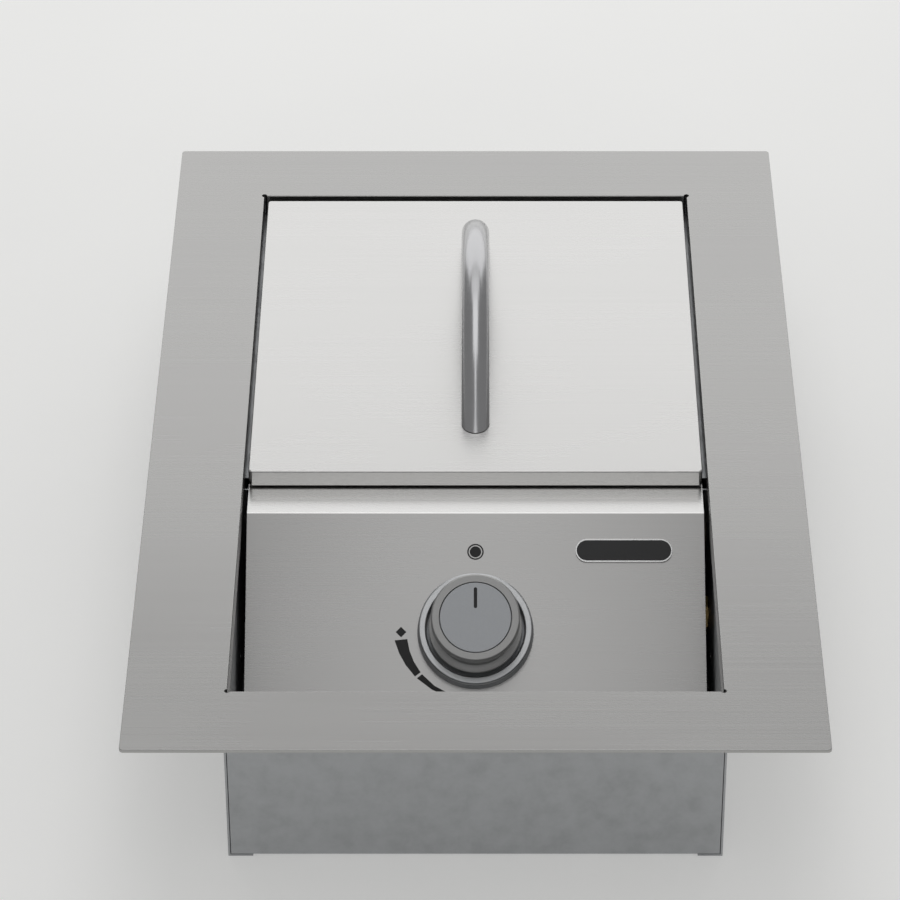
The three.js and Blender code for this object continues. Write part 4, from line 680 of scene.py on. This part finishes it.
def faces_together(mesh):
    """Groups of neighbouring faces that lie in one plane."""
    left = set(mesh.faces)
    while left:
        group = [left.pop()]
        for face in group:
            for edge in face.edges:
                if edge.calc_face_angle(1) < FLAT:
                    joined = left.intersection(edge.link_faces)
                    left -= joined
                    group.extend(joined)
        yield group


def loops_of(edges):
    """Closed loops among a flat group's outer edges, the widest first."""
    left = set(edges)
    loops = []
    while left:
        loop = [left.pop()]
        for edge in loop:
            joined = {other for vert in edge.verts for other in vert.link_edges} & left
            left -= joined
            loop.extend(joined)
        loops.append({vert for edge in loop for vert in edge.verts})
    return sorted(loops, key=spread, reverse=True)


def spread(loop):
    """How far a loop reaches along the axis on which it is longest."""
    places = [vert.co for vert in loop]
    return max(max(place[i] for place in places) - min(place[i] for place in places) for i in range(3))


def cuts_through_holes(piece):
    """Planes, as axis and value in mm, that pass through every opening in the piece's flat faces."""
    mesh = bmesh.from_edit_mesh(piece.data)
    cuts = set()
    for group in faces_together(mesh):
        inside = set(group)
        rim = {edge for face in group for edge in face.edges if not inside.issuperset(edge.link_faces)}
        middles = [sum((v.co for v in loop), Vector()) / len(loop) for loop in loops_of(rim)[1:]]
        normal = group[0].normal
        axes = [i for i in range(3) if abs(normal[i]) < FLAT] or [min(range(3), key=lambda i: abs(normal[i]))]
        choices = [{(axis, round(place[axis] / MM, 2)) for place in middles} for axis in axes]
        cuts |= min(choices, key=len)
    kept = []
    before = (-1, 0)
    for cut in sorted(cuts):
        if cut[0] != before[0] or cut[1] > before[1] + CUT_SPACING:
            kept.append(cut)
        before = cut
    return kept


def copied(name, node):
    """A merged copy of a CAD node: flat faces made whole, but cut straight through their openings."""
    fresh()
    piece = NODES[node].copy()
    piece.data = NODES[node].data.copy()
    piece.parent = None
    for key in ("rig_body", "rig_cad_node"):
        del piece[key]
    bpy.context.collection.objects.link(piece)
    piece.name = name
    piece.data.name = name
    only(piece)
    bpy.ops.mesh.customdata_custom_splitnormals_clear()
    outwards(piece)
    edit(piece, "EDGE")
    pick_all()
    bpy.ops.mesh.dissolve_limited(angle_limit=FLAT)
    for axis, value in cuts_through_holes(piece):
        normal = [float(i == axis) for i in range(3)]
        pick_all()
        bpy.ops.mesh.bisect(plane_co=[i * value * MM for i in normal], plane_no=normal, threshold=CLOSE)
        bpy.ops.mesh.mark_seam()
    pick_all()
    bpy.ops.mesh.dissolve_limited(angle_limit=FLAT, delimit={"SEAM"})
    pick_all()
    bpy.ops.mesh.remove_doubles(threshold=SLACK)
    leave_edit()
    return piece


def softened(piece, width, test, segments=4):
    """Rounds the sharp edges that pass a test on their two ends."""

    def chosen(edge):
        return edge.is_manifold and edge.calc_face_angle() > SHARP and all(test(v.co) for v in edge.verts)

    edit(piece, "EDGE")
    pick(piece, edges=chosen)
    bpy.ops.mesh.bevel(
        offset=width, segments=segments, affect="EDGES", clamp_overlap=True, face_strength_mode="ALL"
    )
    pick_all()
    bpy.ops.mesh.remove_doubles(threshold=CLOSE)
    leave_edit()
    return piece


def pressed(name, node, material, width=0, body="base", segments=2, slot=None, folds=()):
    """A dressed copy of a CAD node with its named folds rounded or, where none are named, every edge."""
    piece = copied(name, node)
    for radius, test in folds:
        softened(piece, radius, test)
    if not folds:
        rounded(piece, width, segments)
    smooth(piece)
    return dress(piece, material, body, node, slot=slot)


# Pieces


class Part:
    """What the piece operators share."""

    bl_options = {"REGISTER", "UNDO"}


class SideBurnerFrame(Part, bpy.types.Operator):
    """Trim frame: brushed plate whose inner edge is folded down round the opening"""

    bl_idname = "side_burner.frame"
    bl_label = "Trim frame"

    def execute(self, context):
        side = sizes().opening_width / 2
        front = low("trim_flange").y + sizes().front_rail
        rear = front + sizes().opening_depth
        corner = high("trim_flange")

        def inner(place):
            across = near(abs(place.x), side) or near(place.y, front) or near(place.y, rear)
            return across and near(place.z, FLANGE_TOP) and abs(place.x) < side + MM

        def outer(place):
            return max(abs(place.x) - corner.x, abs(place.y) - corner.y) > -FLANGE_CORNER

        folds = [(sizes().fold * PRESS_SHARE, inner), (sizes().edge, outer)]
        pressed("trim_frame", "trim_flange", "frame_steel", slot="brushed_steel", folds=folds)
        return {"FINISHED"}


class SideBurnerLid(Part, bpy.types.Operator):
    """Lid: brushed sheet with a folded skirt"""

    bl_idname = "side_burner.lid"
    bl_label = "Lid"

    def execute(self, context):
        start, end = low("lid_shell"), high("lid_shell")

        def skirt(place, height):
            inside = min(place.x - start.x, end.x - place.x, place.y - start.y, end.y - place.y)
            return near(place.z, height) and inside < sizes().fold

        folds = [
            (sizes().fold * PRESS_SHARE, lambda place: skirt(place, LID_TOP)),
            (sizes().edge, lambda place: skirt(place, start.z)),
        ]
        pressed("lid_sheet", "lid_shell", "lid_steel", body="lid", slot="brushed_steel", folds=folds)
        return {"FINISHED"}


class SideBurnerHandle(Part, bpy.types.Operator):
    """Handle: a round bar bent to an arc, cut flat where it stands on the lid"""

    bl_idname = "side_burner.handle"
    bl_label = "Lid handle"

    def execute(self, context):
        radius = sizes().bar_diameter / 2
        half = math.radians(sizes().foot_angle)
        bend = sizes().handle_span / 2 / math.sin(half)
        centre = Vector((0, middle("lid_shell").y, LID_TOP - bend * math.cos(half)))
        seat = low("lid_handle").z
        reach = half + 2 * radius / bend
        start = centre + Vector((0, -bend * math.sin(reach), bend * math.cos(reach)))
        turn = (math.pi / 2 + reach, 0, 0)
        fresh()
        sides = ROUND_SIDES // 2
        bpy.ops.mesh.primitive_circle_add(vertices=sides, radius=radius, location=start, rotation=turn)
        piece = settle(named("handle_bar"))
        edit(piece)
        pick_all()
        bpy.ops.mesh.spin(steps=ROUND_SIDES, angle=2 * reach, center=centre, axis=(1, 0, 0))
        pick_all()
        bpy.ops.mesh.bisect(plane_co=(0, centre.y, seat), plane_no=(0, 0, 1), use_fill=True, clear_inner=True)
        leave_edit()
        outwards(piece)
        softened(piece, FOOT_EDGE, lambda place: near(place.z, seat), 3)
        feet = (middle("handle_screw_front"), middle("handle_screw_rear"))
        hole = high("handle_screw_front").z + FIT - seat
        trimmed(piece, *[drill((0, foot.y, seat), FOOT_BORE, 2 * hole) for foot in feet])
        smooth(piece)
        if max(corner[2] for corner in piece.bound_box) > high("lid_handle").z + MM:
            raise RuntimeError("the handle's arc stands above its CAD solid")
        dress(piece, "polished_bar", "lid", "lid_handle", slot="polished_steel")
        return {"FINISHED"}


class SideBurnerPanel(Part, bpy.types.Operator):
    """Control panel: shelf, slope and recess floor folded from one brushed sheet"""

    bl_idname = "side_burner.control_panel"
    bl_label = "Control panel"

    def execute(self, context):
        shelf = high("control_panel").z
        bend = KNOB_PLACE + UP_SLOPE * sizes().knob_drop
        foot = bend - UP_SLOPE * ((bend.z - sizes().recess_floor) / UP_SLOPE.z)

        def fold(place):
            return near(place.y, bend.y, FOLD_SLACK) and place.z > shelf - 2 * MM

        def toe(place):
            return near(place.y, foot.y, FOLD_SLACK) and place.z < foot.z + MM

        folds = [(sizes().panel_bend * math.tan(TILT / 2), fold), (sizes().fold, toe)]
        pressed("panel_sheet", "control_panel", "panel_steel", slot="brushed_steel", folds=folds)
        return {"FINISHED"}


# Printed marks, the badge plate, bezel and knob are made flat at the origin and then moved onto the slope


def disc(name, radius, thick, sides=ROUND_SIDES // 2, place=(0, 0, 0)):
    """A flat mark: a filled circle raised by its thickness."""
    fresh()
    bpy.ops.mesh.primitive_circle_add(vertices=sides, radius=radius, fill_type="NGON", location=place)
    piece = settle(named(name))
    edit(piece)
    raise_all(thick)
    return outwards(piece)


def raise_all(thick):
    """Extrudes the whole flat mesh upwards."""
    pick_all()
    bpy.ops.mesh.extrude_region_move(TRANSFORM_OT_translate={"value": (0, 0, thick)})
    leave_edit()


def stadium(name, start, end):
    """A bar between two corners with half-round ends."""
    piece = block(name, start, end)
    width = min(end[0] - start[0], end[1] - start[1])

    def upright_edge(edge):
        foot, head = (vert.co for vert in edge.verts)
        return near(foot.x, head.x) and near(foot.y, head.y)

    edit(piece, "EDGE")
    pick(piece, edges=upright_edge)
    bpy.ops.mesh.bevel(offset=width * END_SHARE, segments=16, affect="EDGES")
    leave_edit()
    return outwards(piece)


def scale_band(name, stations, thick):
    """A tapering arc: a radial edge turned and resized from each (angle, outer radius in mm) to the next."""
    inner = sizes().scale_radius
    stations = [(angle, outer * MM) for angle, outer in stations]
    angle, outer = stations[0]
    fresh()
    bpy.ops.mesh.primitive_plane_add(size=1, location=((inner + outer) / 2, 0, 0))
    piece = named(name)
    piece.scale = (outer - inner, STRIP, 1)
    settle(piece)
    edit(piece, "EDGE")
    pick_all()
    turn_about_origin(angle)
    pick(piece, edges=lambda e: e.calc_length() > 10 * STRIP and ahead(e, angle))
    for next_angle, next_outer in stations[1:]:
        bpy.ops.mesh.extrude_edges_move(TRANSFORM_OT_translate={"value": (0, 0, 0)})
        turn_about_origin(next_angle - angle)
        pivot = Matrix.Rotation(math.radians(next_angle), 4, "Z") @ Vector((inner, 0, 0))
        ratio = (next_outer - inner) / (outer - inner)
        bpy.ops.transform.resize(value=(ratio, ratio, 1), center_override=pivot)
        angle, outer = next_angle, next_outer
    raise_all(thick)
    return outwards(piece)


def ahead(edge, angle):
    """True for the long edge on the forward side of the first narrow strip."""
    way = Matrix.Rotation(math.radians(angle), 4, "Z") @ Vector((0, 1, 0))
    return (edge.verts[0].co + edge.verts[1].co).dot(way) > 0


def turn_about_origin(degrees):
    """Turns the selection counter-clockwise, seen from above, about the Z axis."""
    bpy.ops.transform.rotate(
        value=-math.radians(degrees), orient_axis="Z", orient_type="GLOBAL", center_override=(0, 0, 0)
    )


class SideBurnerMarks(Part, bpy.types.Operator):
    """Printed marks: an off ring and dot, a tapering flame scale and a plain start mark"""

    bl_idname = "side_burner.marks"
    bl_label = "Printed marks"

    def execute(self, context):
        thick = sizes().mark_height
        up = sizes().off_mark
        inner, outer = OFF_RING
        profile = [(inner, 0), (outer, 0), (outer, thick), (inner, thick)]
        ring = upright(turned("off_ring", profile, ROUND_SIDES // 2, closed=True), (0, up, 0))
        dot = disc("off_dot", OFF_DOT, thick, place=(0, up, 0))
        wide = scale_band("flame_scale_wide", WIDE_SCALE, thick)
        thin = scale_band("flame_scale_thin", THIN_SCALE, thick)
        start = disc("start_mark", START_MARK, thick, sides=4, place=(-sizes().start_mark, 0, 0))
        for piece in (ring, dot, wide, thin, start):
            dress(on_knob_axis(piece), "ink", "base", slot="black_plastic")
        return {"FINISHED"}


class SideBurnerBadge(Part, bpy.types.Operator):
    """Badge plate: blank and black, inside a thin bright rim"""

    bl_idname = "side_burner.badge"
    bl_label = "Badge plate"

    def execute(self, context):
        x, y = sizes().badge_offset, sizes().badge_rise

        def plate(name, inset, foot, head):
            across = sizes().badge_length / 2 - inset
            up = sizes().badge_width / 2 - inset
            return stadium(name, (x - across, y - up, foot), (x + across, y + up, head))

        face = plate("badge_face", PLATE_RIM + PLATE_GAP, FIT, PLATE_FACE)
        cutter = plate("cutter", PLATE_RIM, FIT - MM, PLATE_TOP + MM)
        edge = trimmed(plate("badge_rim", 0, FIT, PLATE_TOP), cutter)
        for piece, material in ((face, "plate_black"), (edge, "plate_edge")):
            rounded(piece, PLATE_EDGE)
            smooth(on_knob_axis(piece))
            dress(piece, material, "base", slot="black_plastic")
        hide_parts("badge_plate")
        return {"FINISHED"}


class SideBurnerBezel(Part, bpy.types.Operator):
    """Bezel: a satin cup on the panel with a bright ring on its wall"""

    bl_idname = "side_burner.bezel"
    bl_label = "Knob bezel"

    def execute(self, context):
        radius = sizes().bezel_radius / MM
        bore = 6.5
        cup_shape = section(
            (bore, 0.3),
            (radius + 0.6, 0.3),
            (radius + 0.3, 3),
            (radius, 5.7),
            (radius - 3, 5.7),
            (radius - 3, 1.5),
            (bore, 1.5),
        )
        ring_shape = section(
            (radius - 4.2, 6),
            (radius, 6),
            (radius, 8.3),
            (radius - 0.7, 9),
            (radius - 3.7, 9),
            (radius - 4.6, 8.2),
        )
        cup = turned("bezel_cup", cup_shape, closed=True)
        trimmed(cup, *[drill((side * SCREW_SPACING, 0, 0), PANEL_BORE, 8 * MM) for side in (-1, 1)])
        ring = turned("bezel_rim", ring_shape, closed=True)
        for piece, material, node in (
            (cup, "bezel_satin", "knob_bezel"),
            (ring, "bezel_bright", "bezel_ring"),
        ):
            rounded(piece, TURNED_EDGE, 3)
            smooth(on_knob_axis(piece))
            dress(piece, material, "base", node, slot="satin_metal")
        return {"FINISHED"}


class SideBurnerKnob(Part, bpy.types.Operator):
    """Knob: a waisted satin spool with an inset disc and a plain pointer line"""

    bl_idname = "side_burner.knob"
    bl_label = "Knob"

    def execute(self, context):
        rim = sizes().knob_radius / MM
        top = sizes().knob_height / MM
        bore, hub, waist, recess = 3.3, 7, 17.2, 19.55
        spool_shape = section(
            (bore, 12),
            (hub, 12),
            (hub, 27.3),
            (20.7, 27.3),
            (waist, 22.2),
            (waist, 17.8),
            (21.8, 10.4),
            (rim + 1.3, 10.4),
            (rim + 1.3, 11.8),
            (rim + 1, 12.1),
            (rim - 0.7, 12.2),
            (21.4, 13.1),
            (20.2, 15.2),
            (19.6, 17.6),
            (19.4, 20),
            (19.7, 22.4),
            (20.8, 25.2),
            (22.6, 27.4),
            (rim - 0.2, 28.4),
            (rim, 29),
            (rim, 33.2),
            (rim - 0.8, top),
            (recess, top),
            (recess, 32),
            (bore, 32),
        )
        face_shape = section((17.9, 32.3), (19.25, 32.3), (19.25, 33.7), (18.95, top), (17.9, top))
        spool = rounded(turned("knob_spool", spool_shape, closed=True), SPOOL_EDGE, 3, angle=24)
        face = rounded(turned("knob_disc", face_shape), DISC_EDGE, 2, angle=40)
        start, end = section((-0.9, 5), (0.9, 16.5))
        height = sizes().knob_height
        pointer = stadium("knob_pointer", (*start, height), (*end, height + POINTER_HEIGHT))
        for piece, material, nodes in (
            (spool, "knob_satin", ["knob_shell"]),
            (face, "knob_face", ["knob_face"]),
            (pointer, "ink", []),
        ):
            smooth(on_knob_axis(piece))
            dress(piece, material, "knob", *nodes, slot="satin_metal")
        return {"FINISHED"}


class SideBurnerBurner(Part, bpy.types.Operator):
    """Burner: cast body with its mixing tube, ported head, enamelled cap, air shutter and bracket"""

    bl_idname = "side_burner.burner"
    bl_label = "Burner"

    def execute(self, context):
        cast = sizes().cast_edge
        fine = sizes().edge * FINE_SHARE
        pressed("burner_body", "burner_base", "cast_aluminium", cast * SHEET_SHARE, segments=3)
        pressed("burner_crown", "burner_head", "cast_aluminium", cast * PORT_SHARE)
        pressed("shutter_sleeve", "air_shutter", "casing_steel", fine)
        pressed("burner_saddle", "burner_bracket", "casing_steel", fine)
        foot, top = low("burner_cap").z / MM, high("burner_cap").z / MM
        radius = (high("burner_cap").x - BURNER.x) / MM
        neck, brim = 23.7, foot + 2.4
        cap_shape = section(
            (neck, foot),
            (neck, brim),
            (radius, brim),
            (radius, foot + 4.6),
            (radius - 0.8, foot + 5.8),
            (radius - 3.2, top - 1),
            (radius * 0.75, top - 0.45),
            (radius * 0.45, top - 0.1),
            (radius * 0.2, top),
        )
        cap = upright(turned("burner_lid", cap_shape), (BURNER.x, BURNER.y, 0))
        smooth(rounded(cap, TURNED_EDGE, 2, angle=25), angle=40)
        dress(cap, "cast_iron", "base", "burner_cap", slot="black_enamel")
        return {"FINISHED"}


class SideBurnerGrate(Part, bpy.types.Operator):
    """Grate: cast iron bars with round edges and a ring over the burner"""

    bl_idname = "side_burner.grate"
    bl_label = "Grate"

    def execute(self, context):
        pressed("grate_casting", "grate", "cast_iron", sizes().cast_edge, body="grate", segments=3)
        return {"FINISHED"}


class SideBurnerBowl(Part, bpy.types.Operator):
    """Spill bowl: pressed steel with a flat rim, carried on two rails"""

    bl_idname = "side_burner.bowl"
    bl_label = "Spill bowl"

    def execute(self, context):
        pressed("spill_tray", "spill_bowl", "bowl_steel", sizes().edge, segments=3, slot="brushed_steel")
        return {"FINISHED"}


# Pieces of folded sheet and the CAD nodes that they stand for
SHEETS = {
    "side_wall_left": "casing_left",
    "side_wall_right": "casing_right",
    "front_wall": "casing_front",
    "rear_wall": "casing_rear",
    "base_pan": "casing_bottom",
    "bulkhead": "burner_bulkhead",
    "ledge_left": "lid_ledge_left",
    "ledge_right": "lid_ledge_right",
    "ledge_rear": "lid_ledge_rear",
    "rail_left": "bowl_rail_left",
    "rail_right": "bowl_rail_right",
    "valve_strap": "valve_bracket",
    "electrode_clip": "electrode_bracket",
}


class SideBurnerCasing(Part, bpy.types.Operator):
    """Casing: folded galvanised walls, pan, bulkhead, ledges, rails, brackets and the lid's bumpers"""

    bl_idname = "side_burner.casing"
    bl_label = "Casing"

    def execute(self, context):
        for name, node in SHEETS.items():
            pressed(name, node, "casing_steel", sizes().edge * SHEET_SHARE)
        for corner in ("front_left", "front_right", "rear_left", "rear_right"):
            pressed(f"bumper_{corner}", f"lid_bumper_{corner}", "rubber", sizes().edge * FINE_SHARE)
        return {"FINISHED"}


def screw(name, node, body, place, axis, head_radius, depth):
    """A copied screw with a cross recess pressed into its head."""
    piece = copied(name, node)
    turn = Vector((0, 0, 1)).rotation_difference(Vector(axis))
    long, wide = head_radius * RECESS_LONG_SHARE, head_radius * RECESS_WIDE_SHARE
    tools = []
    for x, y in ((long, wide), (wide, long)):
        tool = block("cutter", (-x, -y, -depth), (x, y, depth))
        tool.matrix_world = Matrix.Translation(place) @ turn.to_matrix().to_4x4()
        tools.append(settle(tool))
    trimmed(piece, *tools)
    smooth(rounded(piece, sizes().edge * FINE_SHARE))
    dress(piece, "fastener_steel", body, node)


class SideBurnerFasteners(Part, bpy.types.Operator):
    """Fasteners: wall rivets, handle screws, valve screws and bracket screws"""

    bl_idname = "side_burner.fasteners"
    bl_label = "Fasteners"

    def execute(self, context):
        for side in ("left", "right"):
            node = f"wall_rivet_{side}"
            pressed(f"rivet_{side}", node, "fastener_steel", sizes().edge * FINE_SHARE, segments=3)
        for end in ("front", "rear"):
            node = f"handle_screw_{end}"
            head = (middle(node).x, middle(node).y, low(node).z)
            recess = {"head_radius": 4.6 * MM, "depth": 1.4 * MM}
            screw(f"foot_screw_{end}", node, "lid", head, (0, 0, -1), **recess)
        for side, across in (("left", -SCREW_SPACING), ("right", SCREW_SPACING)):
            head = KNOB_PLACE + Vector((across, 0, 0)) + KNOB_AXIS * SCREW_RISE
            node = f"panel_screw_{side}"
            recess = {"head_radius": 3.4 * MM, "depth": 1.2 * MM}
            screw(f"valve_screw_{side}", node, "base", head, KNOB_AXIS, **recess)
            node = f"bracket_screw_{side}"
            head = (middle(node).x, middle(node).y, high(node).z)
            recess = {"head_radius": 3.6 * MM, "depth": 1.2 * MM}
            screw(f"saddle_screw_{side}", node, "base", head, (0, 0, 1), **recess)
        return {"FINISHED"}


class SideBurnerValve(Part, bpy.types.Operator):
    """Gas valve: brass body, bonnet, rotor and stem with its return spring"""

    bl_idname = "side_burner.valve"
    bl_label = "Gas valve"

    def execute(self, context):
        edge = sizes().edge
        pressed("gas_valve", "valve_body", "brass", edge)
        pressed("valve_collar", "valve_bonnet", "brass", edge)
        pressed("valve_plug", "valve_rotor", "brass", edge * SHEET_SHARE, body="valve_rotor")
        pressed("stem", "valve_stem", "brass", edge * SHEET_SHARE, body="knob")
        spring = copied("stem_spring", "valve_spring")
        use(spring, "SUBSURF", "round", levels=1, render_levels=1)
        smooth(spring, angle=60)
        dress(spring, "fastener_steel", NODES["valve_spring"]["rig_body"], "valve_spring")
        return {"FINISHED"}


class SideBurnerGasLine(Part, bpy.types.Operator):
    """Gas line: supply and feed tubes, inlet, orifice and its holder"""

    bl_idname = "side_burner.gas_line"
    bl_label = "Gas line"

    def execute(self, context):
        edge = sizes().edge * SHEET_SHARE
        for name, node in (("feed_pipe", "burner_feed_tube"), ("supply_pipe", "gas_supply_tube")):
            piece = smooth(rounded(copied(name, node), edge, angle=60), angle=60)
            dress(piece, "fastener_steel", "base", node, slot="satin_metal")
        for name, node in (
            ("gas_inlet", "inlet_fitting"),
            ("gas_inlet_nut", "inlet_nut"),
            ("orifice_holder", "jet_holder"),
            ("orifice", "jet_orifice"),
        ):
            pressed(name, node, "brass", edge)
        return {"FINISHED"}


# The spark lead in mm: out of the module, through the bulkhead, along the pan and up to the electrode
LEAD_ROUTE = (
    (62, -57, 35.7),
    (62, -57, 25.8),
    (62, -57, 22.2),
    (47, -47.3, 10),
    (47, -38.9, 10),
    (47, -31.9, 9.238),
    (47, -24.9, 7.4),
    (47, -17.9, 5.562),
    (47, -10.9, 4.8),
    (47, -3.9, 4.8),
    (47, 33, 4.8),
    (47, 70.6, 4.8),
    (47, 77.6, 4.8),
    (47, 84.45, 6.163),
    (47, 90.257, 10.043),
    (47, 94.137, 15.85),
    (47, 95.5, 22.7),
    (47, 95.5, 29.7),
)


class SideBurnerIgniter(Part, bpy.types.Operator):
    """Igniter: module with a battery cap, electrode and spark lead"""

    bl_idname = "side_burner.igniter"
    bl_label = "Igniter"

    def execute(self, context):
        edge = sizes().edge
        module_edge = 3 * edge
        pressed("spark_module", "igniter_module", "black_plastic", module_edge, segments=3)
        pressed("battery_cover", "battery_cap", "black_plastic", edge)
        pressed("electrode_body", "spark_electrode", "ceramic", edge)
        pressed("electrode_wire", "electrode_tip", "fastener_steel", edge * WIRE_SHARE)
        line = bpy.data.curves.new("ignition_lead", "CURVE")
        line.dimensions = "3D"
        line.resolution_u = 8
        line.bevel_depth = sizes().lead_diameter / 2
        line.bevel_resolution = 5
        line.use_fill_caps = True
        route = line.splines.new("BEZIER")
        route.bezier_points.add(len(LEAD_ROUTE) - 1)
        for point, place in zip(route.bezier_points, LEAD_ROUTE):
            point.co = Vector(place) * MM
            point.handle_left_type = point.handle_right_type = "AUTO"
        lead = bpy.data.objects.new("ignition_lead", line)
        bpy.context.collection.objects.link(lead)
        dress(lead, "rubber", "base", "spark_lead")
        Vector(LEAD_ROUTE[0]) * MM
        return {"FINISHED"}


# Place, target, size and power of each soft light
LAMPS = {
    "back_light": ((0, 1.5, 0.75), (0, 0, 0.48), (2.2, 1.25), 7.4),
    "slope_light": ((0, 1.8, 2.62), (0, 0.1, 0.15), (2.5, 0.9), 5.0),
    "top_light": ((0, 0.3, 1.9), (0, 0.3, 0.1), (1.1, 1.2), 4.0),
    "ridge_light": ((0, -1.15, 1.9), (0, -1.15, 0.1), (0.4, 1.7), 1.9),
    "front_light": ((0, -2.3, 1.6), (0, 0, 0.1), (1.4, 0.9), 2.6),
}


def lamp(name, place, target, size, power):
    """A soft rectangular light that faces a point."""
    light = bpy.data.lights.new(name, "AREA")
    light.shape = "RECTANGLE"
    light.size, light.size_y = size
    light.energy = power
    stand = bpy.data.objects.new(name, light)
    bpy.context.collection.objects.link(stand)
    stand.location = place
    stand.visible_camera = False
    stand.rotation_euler = facing(Vector(target) - Vector(place))


def facing(way):
    """The turn that points a lamp or a camera along a direction."""
    return way.to_track_quat("-Z", "Y").to_euler()


def lay_floor():
    """A pale paper floor that brightens itself where the camera or metal sees it."""
    fresh()
    bpy.ops.mesh.primitive_plane_add(size=FLOOR_SIZE, location=(0, 0, -FLOOR_DROP))
    floor = settle(named("floor"))
    material, tree, shader = surface("floor_paper", 0.0)
    tone = (*finishes().floor, 1)
    source = preset(effect(tree, "wear"), Color=tone, Roughness=0.8, Scale=6, Amount=0.05)
    feed(tree, source, shader, strength=0.02, distance=MM)
    path = tree.nodes.new("ShaderNodeLightPath")
    seen = sums(tree, "MAXIMUM", path.outputs["Is Camera Ray"], path.outputs["Is Glossy Ray"])
    glow = preset(tree.nodes.new("ShaderNodeEmission"), Color=tone)
    tree.links.new(sums(tree, "MULTIPLY", seen, sizes().floor_glow), glow.inputs["Strength"])
    both = tree.nodes.new("ShaderNodeAddShader")
    tree.links.new(shader.outputs[0], both.inputs[0])
    tree.links.new(glow.outputs[0], both.inputs[1])
    tree.links.new(both.outputs[0], tree.nodes["Material Output"].inputs["Surface"])
    floor.data.materials.append(material)


def light_world():
    """A dim even light all round, behind which the camera sees a pale grey."""
    world = bpy.data.worlds.new("studio")
    bpy.context.scene.world = world
    world.use_nodes = True
    tree = world.node_tree
    path = tree.nodes.new("ShaderNodeLightPath")
    dim = preset(tree.nodes["Background"], Color=(1, 1, 1, 1), Strength=WORLD_LIGHT)
    seen = preset(tree.nodes.new("ShaderNodeBackground"), Color=(*[BACKDROP] * 3, 1), Strength=1)
    mixed = tree.nodes.new("ShaderNodeMixShader")
    tree.links.new(path.outputs["Is Camera Ray"], mixed.inputs[0])
    tree.links.new(dim.outputs[0], mixed.inputs[1])
    tree.links.new(seen.outputs[0], mixed.inputs[2])
    tree.links.new(mixed.outputs[0], tree.nodes["World Output"].inputs["Surface"])


class SideBurnerStage(Part, bpy.types.Operator):
    """Stage: pale floor, soft studio light and the camera at the photograph's angle"""

    bl_idname = "side_burner.stage"
    bl_label = "Stage"

    def execute(self, context):
        scene = context.scene
        scene.view_settings.view_transform = "Standard"
        lay_floor()
        light_world()
        for name, settings in LAMPS.items():
            lamp(name, *settings)
        camera = bpy.data.objects.new("camera", bpy.data.cameras.new("camera"))
        bpy.context.collection.objects.link(camera)
        camera.data.sensor_width = 36
        camera.data.lens = sizes().lens
        camera.data.clip_start, camera.data.clip_end = 0.01, 50
        camera.data.shift_x = sizes().shift
        camera.location = CAMERA_PLACE
        camera.rotation_euler = facing(Vector((0, math.cos(CAMERA_TILT), -math.sin(CAMERA_TILT))))
        scene.camera = camera
        return {"FINISHED"}


OPERATORS = (
    SideBurnerStage,
    SideBurnerFrame,
    SideBurnerLid,
    SideBurnerHandle,
    SideBurnerPanel,
    SideBurnerMarks,
    SideBurnerBadge,
    SideBurnerBezel,
    SideBurnerKnob,
    SideBurnerBurner,
    SideBurnerGrate,
    SideBurnerBowl,
    SideBurnerCasing,
    SideBurnerFasteners,
    SideBurnerValve,
    SideBurnerGasLine,
    SideBurnerIgniter,
)


class SideBurnerSidebar(bpy.types.Panel):
    """Lists the pieces in the order in which they are made"""

    bl_idname = "VIEW3D_PT_side_burner"
    bl_label = "Side Burner"
    bl_space_type = "VIEW_3D"
    bl_region_type = "UI"
    bl_category = "Side Burner"

    def draw(self, context):
        column = self.layout.column(align=True)
        for operator in OPERATORS:
            column.operator(operator.bl_idname)
        for settings in (context.scene.side_burner_sizes, context.scene.side_burner_finish):
            box = self.layout.box()
            for key in settings.bl_rna.properties.keys():
                if key not in ("rna_type", "name"):
                    box.prop(settings, key)


CLASSES = (SideBurnerSizes, SideBurnerFinish, *OPERATORS, SideBurnerSidebar)


def register():
    for kind in CLASSES:
        bpy.utils.register_class(kind)
    bpy.types.Scene.side_burner_sizes = bpy.props.PointerProperty(type=SideBurnerSizes)
    bpy.types.Scene.side_burner_finish = bpy.props.PointerProperty(type=SideBurnerFinish)


def unregister():
    del bpy.types.Scene.side_burner_finish
    del bpy.types.Scene.side_burner_sizes
    for kind in reversed(CLASSES):
        bpy.utils.unregister_class(kind)


def main():
    """Makes every piece in order."""
    register()
    for operator in OPERATORS:
        group, name = operator.bl_idname.split(".")
        getattr(getattr(bpy.ops, group), name)()
    fresh()


if __name__ == "__main__":
    main()
